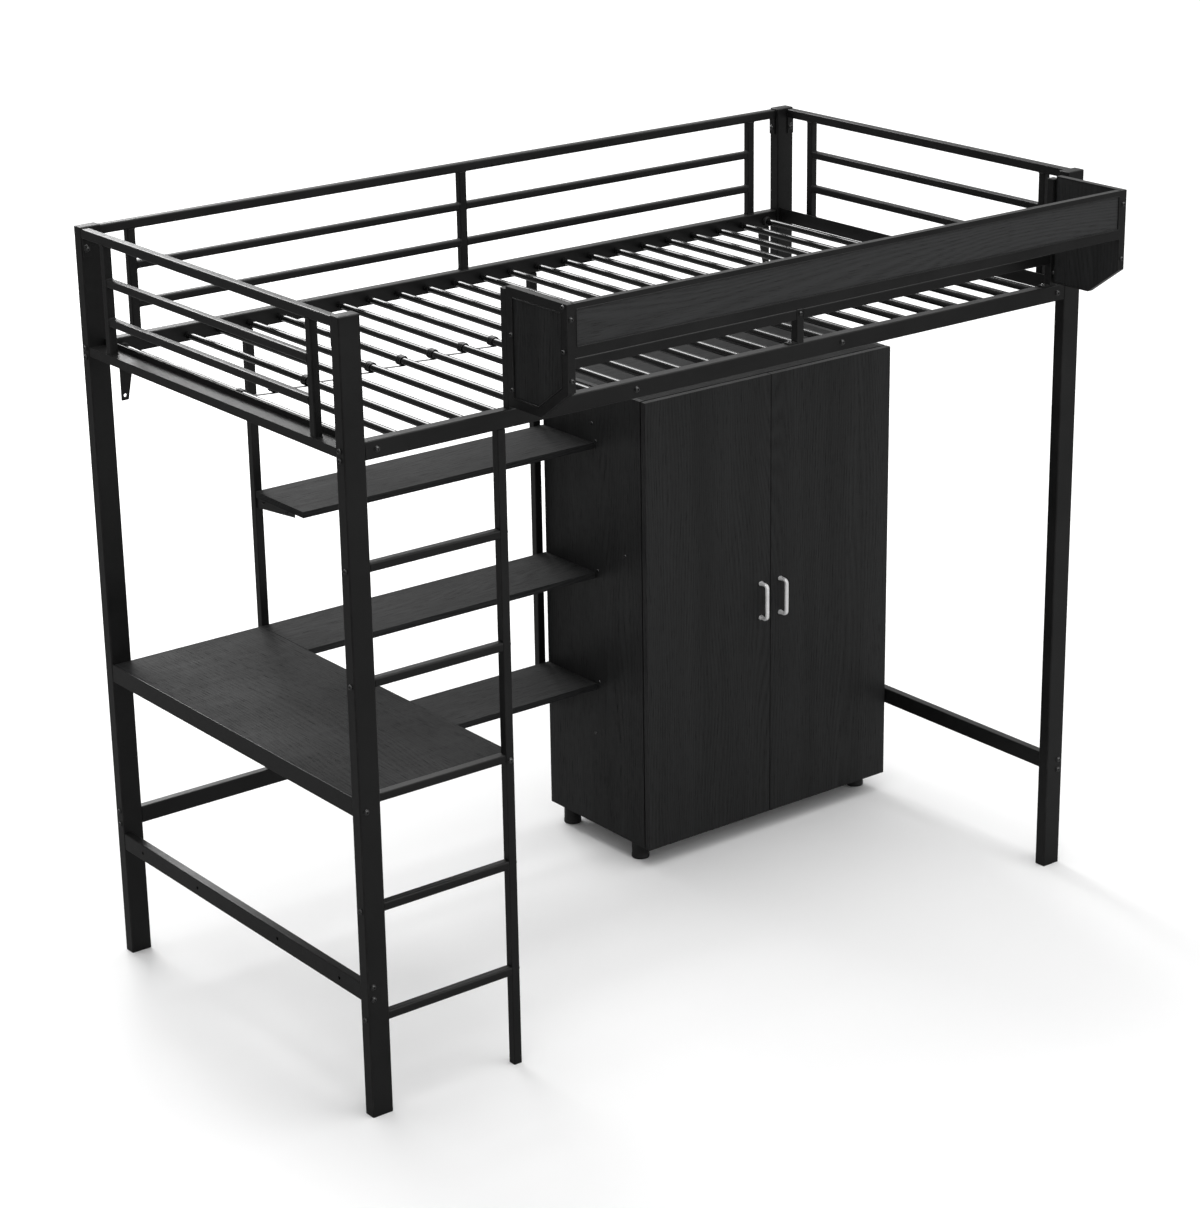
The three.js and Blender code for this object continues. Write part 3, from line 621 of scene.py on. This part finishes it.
# the two bolts at each end of a low rail: how far below its top and above its underside
LOW_RAIL_BOLTS = {"low_rail_left": (3, 9), "low_rail_right": (4, 10), "low_rail_rear": (2, 6)}
TOP_BRACKET_BOLT = 1670
# depth and height of the screws in the wardrobe's sides
SIDE_SCREWS = [(804, 1088), (682, 786), (808, 294)]


def low_rail_bolts(node):
    low, high = span(node)
    below, above = LOW_RAIL_BOLTS[node]
    return high[2] - below, low[2] + above


def frame_bolts():
    """Bolts through the posts and rails. Those of one end are repeated at the other."""
    post_low, post_high = span("post_front_left")
    right_post = span("post_front_right")[1][0]
    rear_face = span("post_rear_left")[1][1]
    rail = span("bed_rail_front")
    rail_z = (rail[0][2] + rail[1][2]) / 2
    rear_rail_y = span("bed_rail_rear")[1][1]
    rungs = [sum(span("rung_%d" % step)[i][2] for i in (0, 1)) / 2 for step in (1, 2, 3, 4)]
    post_mid = (post_low[1] + post_high[1]) / 2
    places = []
    for x in LONG_RAIL_BOLTS:
        places.append(((x, rail[0][1], rail_z), FRONT))
        places.append(((x, rear_rail_y, rail_z), REAR))
    for z in rungs:
        places.append(((0, post_mid - 2, z), LEFT))
        places.append(((span("ladder_post")[1][0], 11, z), RIGHT))
    for above in END_RAIL_BOLTS:
        for y in (post_mid, rear_face - post_mid):
            places.append(((0, y, rail_z + above), LEFT))
            places.append(((right_post, y, rail_z + above), RIGHT))
    for node, x in (("low_rail_left", 13), ("low_rail_right", right_post - 14)):
        for z in low_rail_bolts(node):
            places.append(((x, 0, z), FRONT))
            places.append(((x, rear_face, z), REAR))
    for z in low_rail_bolts("low_rail_rear"):
        places.append(((0, rear_face - 16, z), LEFT))
        places.append(((right_post, rear_face - 16, z), RIGHT))
    desk_end = span("desk_rail_end")
    for y, direction in ((0, FRONT), (rear_face, REAR)):
        places.append(((15, y, desk_end[0][2] + 14), direction))
    places.append(((374, span("ladder_post")[0][1], span("desk_rail_front")[0][2] + 4), FRONT))
    for x in (9, right_post - 9):
        places.append(((x, rear_face - 30, TOP_BRACKET_BOLT), FRONT))
    screwed("frame_bolts", socket_head(11.5, 3.4, 13.5, 4.2), places, bolt_black)


def guard_bolts():
    """Bolts on the boxed front guard, its side panels and the low frame that carries it."""
    left = span("guard_side_frame_left")
    right = span("guard_side_frame_right")
    front = left[0][1]
    x_left, x_right = left[0][0], right[1][0]
    top = left[1][2]
    near_front, near_post = front + 12, -17
    spots = [(near_front, top - 7), (near_front, top - 96), (near_post, top - 96), (near_post, top - 209)]
    places = [((x_left, y, z), LEFT) for y, z in spots]
    places += [((x_right, y, z), RIGHT) for y, z in spots]
    for z in (top - 31, top - 154):
        places.append(((x_left + 9, front, z), FRONT))
        places.append(((x_right - 9, front, z), FRONT))
    low, high = span("guard_front_frame")
    middle = (low[0] + high[0]) / 2
    for x, z in ((middle, 1521), (high[0] - 10, 1487), (low[0] + 10, 1487)):
        places.append(((x, low[1], z), FRONT))
    for x in (middle - 22, high[0] - 32, low[0] + 32):
        places.append(((x, low[1] + 9, low[2] + 3), UP))
    screwed("guard_bolts", socket_head(9.5, 3.0, 11.0, 3.6), places, bolt_black)


def rail_end_bolts():
    """Bolts through the tabs at the ends of the guards' top rails, seen from inside the bed."""
    places = []
    for node, x in (("guard_end_left", 11), ("guard_end_right", span("post_front_right")[1][0] - 11)):
        low, high = span(node)
        for y, direction in ((low[1] + 3, REAR), (high[1] - 3, FRONT)):
            places.append(((x, y, high[2] - 45), direction))
    low, high = span("guard_rear")
    y = high[1] - 10
    for x, direction in ((low[0] + 3, RIGHT), (high[0] - 3, LEFT)):
        places.append(((x, y, high[2] - 45), direction))
    screwed("rail_end_bolts", socket_head(11.0, 3.2, 14.0, 4.0), places, bolt_black)


def shelf_screws():
    """Screws up through the shelf arms into the shelves."""
    places = []
    for node, aside in (("upright_left", 2), ("upright_right", -2)):
        low, _ = span(node)
        middle = low[0] + 10
        for shelf in SHELVES:
            under = span(shelf)[0][2] - 2.3
            for y in (low[1] + 22, low[1] + 118):
                places.append(((middle + aside, y, under), DOWN))
    screwed("shelf_screws", cross_head(8.0, 2.0), places, bolt_black)


def side_screws():
    """Screw heads in the wardrobe's sides, and on the left side also beside the wall shelves' ends."""
    left = span("wardrobe_side_left")[0][0]
    right = span("wardrobe_side_right")[1][0]
    beside_shelves = []
    for shelf in SHELVES:
        low, high = span(shelf)
        beside_shelves.append((low[1] - 8, high[2] + 6))
    places = [((left, y, z), LEFT) for y, z in SIDE_SCREWS + beside_shelves]
    places += [((right, y, z), RIGHT) for y, z in SIDE_SCREWS]
    screwed("side_screws", cross_head(8.6, 1.8), places, bolt_black)


# ---------------------------------------------------------------- welds

# widths and corner radii of the guards' tubes, then the bead's own sizes, then the places of bars and stiles
GUARD_BAR = 18.0
GUARD_BAR_EDGE = 4
STILE = 20.0
STILE_DEEP = 18
STILE_EDGE = 3
TOP_RAIL_HIGH = 21
BEAD_RADIUS, BEAD_RIPPLE, BEAD_PITCH = 1.24, 0.28, 3.4
BAR_TOPS = (1616.0, 1530.0)
END_STILE_MIDDLE = 114
REAR_STILE_MIDDLE = 128
FRONT_FRAME_BAR = 1519


def bead(section_wide, section_high, corner, point, direction):
    """A weld bead round a tube where it meets another: a small round bead carried round the tube's outline.

    Its radius ripples as a sine along the way, about three ripples to the centimetre, as a puddle weld does.
    """
    outline = rounded_section(section_wide, section_high, corner, 4)
    closed = np.concatenate([outline, outline[:1]])
    steps = np.linalg.norm(np.diff(closed, axis=0), axis=1)
    reach = np.concatenate([[0], np.cumsum(steps)])
    count = int(reach[-1] / 1.6)
    distance = np.linspace(0, reach[-1], count, endpoint=False)
    path = np.stack([np.interp(distance, reach, closed[:, i]) for i in (0, 1)] + [np.zeros(count)], -1)
    ripple = BEAD_RADIUS + BEAD_RIPPLE * np.sin(distance * 2 * np.pi / BEAD_PITCH)
    turn = np.linspace(0, 2 * np.pi, 8, endpoint=False)
    section = ripple[:, None, None] * np.stack([np.cos(turn), np.sin(turn)], -1)[None]
    grid = carried(section, path, (0, 0, 1), loop=True)
    return at(*point) + grid @ facing(direction) * MM


def end_stiles():
    """The middles of the two stiles of an end guard, and the side of each that its bars run to."""
    rear_face = span("post_rear_left")[1][1]
    return (END_STILE_MIDDLE, REAR), (rear_face - END_STILE_MIDDLE, FRONT)


def rear_stiles():
    """The middles of the three stiles of the rear guard, and the sides of each that its bars run to."""
    length = span("post_front_right")[1][0]
    return (REAR_STILE_MIDDLE, (RIGHT,)), (length / 2, (LEFT, RIGHT)), (length - REAR_STILE_MIDDLE, (LEFT,))


def guard_welds():
    """Beads where the guards' bars meet their stiles, and where the stiles meet the top rails."""
    beads = []
    for node in END_GUARDS:
        low, high = span(node)
        middle = (low[0] + high[0]) / 2
        for y, direction in end_stiles():
            inner = y + STILE / 2 * direction[1]
            for top in BAR_TOPS:
                point = (middle, inner, top - GUARD_BAR / 2)
                beads.append(bead(GUARD_BAR, GUARD_BAR, GUARD_BAR_EDGE, point, direction))
            beads.append(bead(STILE_DEEP, STILE, STILE_EDGE, (middle, y, high[2] - TOP_RAIL_HIGH), DOWN))
    low, high = span("guard_rear")
    y = (low[1] + high[1]) / 2
    for x, directions in rear_stiles():
        for direction in directions:
            for top in BAR_TOPS:
                point = (x + STILE / 2 * direction[0], y, top - GUARD_BAR / 2)
                beads.append(bead(GUARD_BAR, GUARD_BAR, GUARD_BAR_EDGE, point, direction))
    for x, _ in rear_stiles():
        beads.append(bead(STILE, STILE_DEEP, STILE_EDGE, (x, y, high[2] - TOP_RAIL_HIGH), DOWN))
    low, high = span("guard_front_frame")
    middle = (low[0] + high[0]) / 2
    half = STILE / 2
    inner = ((low[0] + STILE, RIGHT), (middle - half, LEFT), (middle + half, RIGHT), (high[0] - STILE, LEFT))
    for x, direction in inner:
        beads.append(bead(20, 22, 2, (x, (low[1] + high[1]) / 2, FRONT_FRAME_BAR), direction))
    put("guard_welds", beads, powder_coat, loop=True)


def stand_welds():
    """Beads where the guards' stiles stand on the bed rails."""
    beads = []
    for node in END_GUARDS:
        low, high = span(node)
        for y, _ in end_stiles():
            point = ((low[0] + high[0]) / 2, y, low[2] + 0.6)
            beads.append(bead(STILE_DEEP, STILE, STILE_EDGE, point, UP))
    low, high = span("guard_rear")
    for x, _ in rear_stiles():
        point = (x, (low[1] + high[1]) / 2, low[2] + 0.6)
        beads.append(bead(STILE, STILE_DEEP, STILE_EDGE, point, UP))
    put("stand_welds", beads, powder_coat, loop=True)


# ---------------------------------------------------------------- rolled edges of the boxed guard

RIM_STRIP = 20.0
RIM_CORNER = 3.0
SLANT_RISE, SLANT_RUN = 66.0, 92.0


def softened(corners, radius):
    """A closed outline with rounded corners: each is a parabola between points one radius along its sides.

    A point is added one millimetre before and after each corner, so that straight stretches stay straight.
    """
    corners = np.array(corners, float)
    share = np.linspace(0, 1, 6)[:, None]
    rows = []
    for before, corner, after in zip(np.roll(corners, 1, axis=0), corners, np.roll(corners, -1, axis=0)):
        back = (before - corner) / np.linalg.norm(before - corner)
        on = (after - corner) / np.linalg.norm(after - corner)
        start, end = corner + back * radius, corner + on * radius
        curve = (1 - share) ** 2 * start + 2 * share * (1 - share) * corner + share ** 2 * end
        rows += [(start + back)[None], curve, (end + on)[None]]
    return np.concatenate(rows)


def window_rims():
    """Rolled rims round the windows of the guard's three frames: a round bead carried round each window.

    A side window keeps a strip's width inside its frame, whose lower front corner is cut off aslant. The
    cut's inner line meets the front one at rise + strip * (slant - rise) / run above the frame's foot, and
    the bottom one at run + strip * (slant - run) / rise behind its front. slant is the length of the cut.
    """
    section = rounded_section(2.8, 2.8, 1.39, 3)
    low, high = span("guard_front_panel_frame")
    x, z = (low[0] + 4, high[0] - 4), (low[2] + 22, high[2] - 12)
    flat = softened([(x[0], z[0]), (x[1], z[0]), (x[1], z[1]), (x[0], z[1])], RIM_CORNER)
    path = np.stack([flat[:, 0], np.full(len(flat), low[1] + 0.5), flat[:, 1]], -1)
    rims = [carried(section, path, (0, 1, 0), loop=True) * MM + at(0, 0, 0)]
    slant = math.hypot(SLANT_RISE, SLANT_RUN)
    up = SLANT_RISE + RIM_STRIP * (slant - SLANT_RISE) / SLANT_RUN
    along = SLANT_RUN + RIM_STRIP * (slant - SLANT_RUN) / SLANT_RISE
    for node, face, inward in (("guard_side_frame_left", 0, 1), ("guard_side_frame_right", 1, -1)):
        low, high = span(node)
        front, rear = low[1] + RIM_STRIP, high[1] - RIM_STRIP
        bottom, top = low[2] + RIM_STRIP, high[2] - RIM_STRIP
        corners = [(rear, bottom), (rear, top), (front, top), (front, low[2] + up), (low[1] + along, bottom)]
        flat = softened(corners, RIM_CORNER)
        x = (low, high)[face][0] + 0.5 * inward
        path = np.stack([np.full(len(flat), x), flat[:, 0], flat[:, 1]], -1)
        rims.append(carried(section, path, (1, 0, 0), loop=True) * MM + at(0, 0, 0))
    put("window_rims", rims, powder_coat, loop=True)


# ---------------------------------------------------------------- plugs, cups and glides

TUBE_WALL = 1.7


def slat_end_cups():
    """Plastic cups round both ends of the outermost slats: short collars with a domed rim."""
    along, front, rear, middle = slat_places()
    section = [(0.1, 0.5), (3.2, 0.5), (3.6, 1.2), (3.6, 7.5), (2.8, 9.2), (1.4, 9.8), (0.1, 9.8), (0.1, 0.5)]
    cup = revolved([(SLAT_WIDE / 2 + thick, height) for thick, height in section], 28) * MM
    places = []
    for x in (along[0], along[-1]):
        places += [(at(x, front, middle[2]), REAR), (at(x, rear, middle[2]), FRONT)]
    put("slat_end_cups", placed(cup, places), plastic)


def drawn_in(wide, deep, start, rings, end):
    """Rounded rectangles one above the other, closed by a point at the start height and one at the end.

    A ring is (inset from the full width and depth, height, corner radius).
    """
    rows = [np.zeros((20, 3)) + [0, 0, start]]
    for inset, height, radius in rings:
        flat = rounded_section(wide - 2 * inset, deep - 2 * inset, radius, 4)
        rows.append(np.concatenate([flat, np.full((len(flat), 1), height)], -1))
    rows.append(np.zeros((20, 3)) + [0, 0, end])
    return np.array(rows)


def make_post_plugs():
    """Plastic plugs pressed into the posts' tops: rounded rectangles that draw in as the plug domes over."""
    grids = []
    rings = [(0.2, -0.4, 3.0), (0.2, 1.0, 3.0), (0.7, 1.7, 3.0), (2.2, 2.2, 2.6), (5.0, 2.5, 2.4)]
    for name in POSTS:
        low, high = span(name)
        middle = (low + high) / 2
        wide, deep = (high - low)[:2]
        grid = drawn_in(wide, deep, -0.4, rings, 2.7)
        grids.append(at(middle[0], middle[1], high[2]) + grid * MM)
    put("post_plugs", grids, plastic)


def make_post_glides():
    """Plastic glides in the posts' feet: a plug with a shallow dished sole just inside the tube's end."""
    grids = []
    profile = [(6, 1.6), (4, 1.0), (2.6, 0.2), (0.8, 0.2), (0.2, 0.8), (0, 1.6), (0, 14.0), (0.4, 14.4)]
    for name in POSTS + ("ladder_post",):
        low, high = span(name)
        middle = (low + high) / 2
        wide, deep = (high - low)[:2] - 2 * TUBE_WALL
        corner = 1.8 if name in POSTS else 0.8
        grid = drawn_in(wide, deep, 1.6, [(inset, height, corner) for inset, height in profile], 14.4)
        grids.append(at(middle[0], middle[1], low[2]) + grid * MM)
    put("post_glides", grids, plastic)


# ---------------------------------------------------------------- wardrobe fittings

# the bends of the handles, and the last stretch to the door over which their section widens
BEND = 9.0
FLARE = 9.0


def make_feet():
    """Moulded feet: a straight barrel on a low pad, whose fine ribs are a cosine added to the radius."""
    profile = np.array([(0, 0), (19, 0), (21, 0.6), (21.9, 1.8), (22, 3.4), (22, 9), (21.6, 9.8),
                        (21.2, 10.2), (21.1, 12), (21, 40), (21.6, 41), (21.8, 42), (21.8, 45.4),
                        (21.4, 46.4), (0, 46.4)])
    angle = np.linspace(0, 2 * np.pi, 72, endpoint=False)
    foot = revolved(profile, len(angle))
    barrel = (profile[:, 1] > 11.5) & (profile[:, 1] < 40.5)
    foot[barrel, :, :2] *= (1 + 0.009 * np.cos(24 * angle))[None, :, None]
    for name in ("foot_front_left", "foot_front_right", "foot_rear_left", "foot_rear_right"):
        low, high = span(name)
        middle = (low + high) / 2
        grid = at(middle[0], middle[1], low[2]) + foot * MM
        piece = put(name.replace("foot", "turned_foot"), [grid], plastic)
        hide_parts(name)


def arc_points(centre, radius, start, end, steps):
    """Points on an arc in the (y, z) plane, angles in degrees from +Y towards +Z."""
    angle = np.radians(np.linspace(start, end, steps))
    return np.stack([centre[0] + radius * np.cos(angle), centre[1] + radius * np.sin(angle)], -1)


def make_handles():
    """Bow handles: a flat oval section carried out from the door, round a bend, down the grip and back in.

    The section widens by a cosine towards both feet, where it meets the door.
    """
    for side, body in (("left", "left_door"), ("right", "right_door")):
        low, high = span("handle_" + side)
        x = (low[0] + high[0]) / 2
        door_face = high[1] + 0.3
        out = low[1] + 4
        top, bottom = high[2] - 6, low[2] + 6
        upper = arc_points((out + BEND, top - BEND), BEND, 90, 180, 10)
        lower = arc_points((out + BEND, bottom + BEND), BEND, 180, 270, 10)
        legs = np.linspace(door_face - 0.2, out + BEND + 1, 5)
        leg_high, leg_low = (np.stack([legs, np.full(5, z)], -1) for z in (top, bottom))
        grip = np.linspace((out, top - BEND - 2), (out, bottom + BEND + 2), 12)
        flat = np.concatenate([leg_high, upper, grip, lower, leg_low[::-1]])
        path = np.concatenate([np.full((len(flat), 1), x), flat], -1)
        near = np.clip((flat[:, 0] - (door_face - FLARE)) / FLARE, 0, 1)
        swell = 1 + 0.35 * (0.5 - 0.5 * np.cos(near * np.pi))
        section = rounded_section(8.0, 10.0, 3.6, 4)[None] * swell[:, None, None]
        grid = carried(section, path, (1, 0, 0)) * MM + at(0, 0, 0)
        piece = put("bow_handle_" + side, [grid], satin_silver, body, sharp=50)
        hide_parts("handle_" + side)


def rail_sockets():
    """Cups that hold the clothes rail: a round flange with a raised collar, screwed to each side panel."""
    low, high = span("clothes_rail")
    middle = (low + high) / 2
    cup = revolved([(11.4, 0.2), (24, 0.2), (25, 1), (25, 2.2), (24, 3), (15.5, 3.4), (14.2, 4.6), (14.2, 14),
                    (13.6, 14.8), (11.4, 14.8), (11.4, 0.2)], 40) * MM
    places = [(at(low[0], middle[1], middle[2]), RIGHT), (at(high[0], middle[1], middle[2]), LEFT)]
    put("rail_sockets", placed(cup, places), satin_silver)
    screws = []
    for x, direction in ((low[0] + 3, RIGHT), (high[0] - 3, LEFT)):
        for z in (middle[2] + 19.5, middle[2] - 19.5):
            screws.append(((x, middle[1], z), direction))
    screwed("rail_screws", cross_head(5.5, 1.4), screws, zinc_plate)


def hinge_screws():
    """Screws in the hinge plates on the side panels and in the cup flanges on the doors."""
    plates = []
    for side in ("left", "right"):
        direction = RIGHT if side == "left" else LEFT
        for number in ("1", "2"):
            low, high = span("hinge_arm_%s_%s" % (side, number))
            face = low[0] + 2 if side == "left" else high[0] - 2
            middle = (low + high) / 2
            for z in (middle[2] + 15, middle[2] - 15):
                plates.append(((face, middle[1] + 9, z), direction))
            arm = high[0] if side == "left" else low[0]
            for y in (middle[1] + 16, middle[1] - 6):
                plates.append(((arm, y, middle[2]), direction))
    screwed("hinge_plate_screws", cross_head(7.0, 1.2), plates, zinc_plate)
    for side, body in (("left", "left_door"), ("right", "right_door")):
        flanges = []
        for number in ("1", "2"):
            low, high = span("hinge_cup_%s_%s" % (side, number))
            middle = (low + high) / 2
            for z in (middle[2] + 24, middle[2] - 24):
                flanges.append(((middle[0], high[1], z), REAR))
        screwed("hinge_cup_screws_" + side, cross_head(7.0, 1.0), flanges, zinc_plate, body)


make_slats()
make_tie_wire()
make_tie_eyes()
frame_bolts()
guard_bolts()
rail_end_bolts()
shelf_screws()
side_screws()
guard_welds()
stand_welds()
window_rims()
slat_end_cups()
make_post_plugs()
make_post_glides()
make_feet()
make_handles()
rail_sockets()
hinge_screws()


# ---------------------------------------------------------------- camera, light and floor

# the camera's angles: yaw from +Y towards +X, pitch below the horizon, roll to the right
CAMERA_PLACE = (-4.1172, -5.2877, 3.2076)
CAMERA_YAW = math.radians(37.40)
CAMERA_PITCH = math.radians(19.85)
CAMERA_ROLL = math.radians(0.92)
FOCAL_LENGTH = 93.36
SENSOR = 36.0
# strengths of the surround as it is seen, as it lights, and as it is mirrored
SKY_SEEN, SKY_LIGHT, SKY_REFLECTED = 1.03, 0.80, 0.60
FLOOR_REFLECTED = 0.25
FLOOR_REACH = 60.0
MIDDLE = (0.0, 0.0, 0.8)


def make_camera():
    """Looks along the direction given by yaw, from +Y towards +X, and pitch, below the horizon."""
    level = np.array([math.cos(CAMERA_YAW), -math.sin(CAMERA_YAW), 0.0])
    forward = np.array([math.sin(CAMERA_YAW), math.cos(CAMERA_YAW), 0.0])
    ahead = forward * math.cos(CAMERA_PITCH) - np.array([0.0, 0.0, math.sin(CAMERA_PITCH)])
    down = np.cross(ahead, level)
    right = level * math.cos(CAMERA_ROLL) + down * math.sin(CAMERA_ROLL)
    up = np.cross(right, ahead)
    turn = Matrix(np.stack([right, up, -ahead], axis=1).tolist()).to_4x4()
    lens = bpy.data.cameras.new("camera")
    lens.lens = FOCAL_LENGTH
    lens.sensor_width = SENSOR
    lens.clip_end = 200.0
    camera = bpy.data.objects.new("camera", lens)
    bpy.context.scene.collection.objects.link(camera)
    camera.matrix_world = Matrix.Translation(CAMERA_PLACE) @ turn
    bpy.context.scene.camera = camera


def soft_light(name, place, aim, size, power):
    """A square soft box that faces the point it is aimed at."""
    light = bpy.data.lights.new(name, "AREA")
    light.shape = "SQUARE"
    light.size = size
    light.energy = power
    lamp = bpy.data.objects.new(name, light)
    bpy.context.scene.collection.objects.link(lamp)
    back = np.array(place, float) - np.array(aim, float)
    axes = facing(back / np.linalg.norm(back))
    lamp.matrix_world = Matrix.Translation(place) @ Matrix(axes.T.tolist()).to_4x4()


def make_surround():
    """A white surround: full for the camera, less as light, least in reflections and on the left of them."""
    world = bpy.data.worlds.new("studio")
    world.use_nodes = True
    sky = world.node_tree
    path = add(sky, "LightPath")
    toward = add(sky, "SeparateXYZ", {"Vector": add(sky, "TexCoord").outputs["Generated"]}).outputs["X"]
    mirrored = spread(sky, toward, -0.6, 0.3, SKY_REFLECTED * 0.35, SKY_REFLECTED)
    unseen = blend_numbers(sky, path.outputs["Is Glossy Ray"], SKY_LIGHT, mirrored)
    strength = blend_numbers(sky, path.outputs["Is Camera Ray"], unseen, SKY_SEEN)
    sky.nodes["Background"].inputs["Color"].default_value = grey(1.0)
    sky.links.new(strength, sky.nodes["Background"].inputs["Strength"])
    bpy.context.scene.world = world
    bpy.context.scene.view_settings.view_transform = "Standard"


def pale_floor():
    """A matt floor that turns white away from the object, and is dimmer in the black parts' reflections, more
    so towards -X: painted shade on their left-facing sides.
    """
    material, tree, shader, place, _ = start_material("pale_floor", grey(0.86))
    cloud = noise(tree, place, 0.8, detail=3.0)
    pale = blend_colours(tree, cloud, grey(0.86), grey(0.89))
    path = add(tree, "LightPath")
    aside = add(tree, "SeparateXYZ", {"Vector": place}).outputs["X"]
    # painted shade: in reflections the floor darkens towards -X, which darkens the black parts' left-facing
    # sides
    share = spread(tree, aside, -2.5, 1.5, 0.55, 1.0)
    dim = add(tree, "VectorMath", {0: (FLOOR_REFLECTED,) * 3, "Scale": share}, operation="SCALE").outputs[0]
    tree.links.new(blend_colours(tree, path.outputs["Is Glossy Ray"], pale, dim), shader.inputs["Base Color"])
    away = add(tree, "VectorMath", {0: place}, operation="LENGTH").outputs["Value"]
    lift = maths(tree, "MULTIPLY", spread(tree, away, 2.0, 9.0, 0.0, 0.45), path.outputs["Is Camera Ray"])
    tree.links.new(lift, shader.inputs["Emission Strength"])
    shader.inputs["Emission Color"].default_value = grey(1.0)
    shader.inputs["Roughness"].default_value = 0.85
    shader.inputs["Specular IOR Level"].default_value = 0.1
    return material


def make_floor():
    """One square at height 0, whose corners lie at plus and minus the reach along X and Y."""
    corners = [(x * FLOOR_REACH, y * FLOOR_REACH, 0) for x, y in ((-1, -1), (1, -1), (1, 1), (-1, 1))]
    mesh = bpy.data.meshes.new("floor")
    mesh.from_pydata(corners, [], [(0, 1, 2, 3)])
    mesh.materials.append(pale_floor())
    floor = bpy.data.objects.new("floor", mesh)
    bpy.context.scene.collection.objects.link(floor)


make_camera()
make_surround()
soft_light("top_box", (0.3, -0.6, 5.5), MIDDLE, 5.0, 140)
soft_light("front_box", (2.6, -6.0, 3.4), MIDDLE, 4.0, 40)
soft_light("back_box", (0.8, 6.5, 5.4), MIDDLE, 3.6, 420)
make_floor()
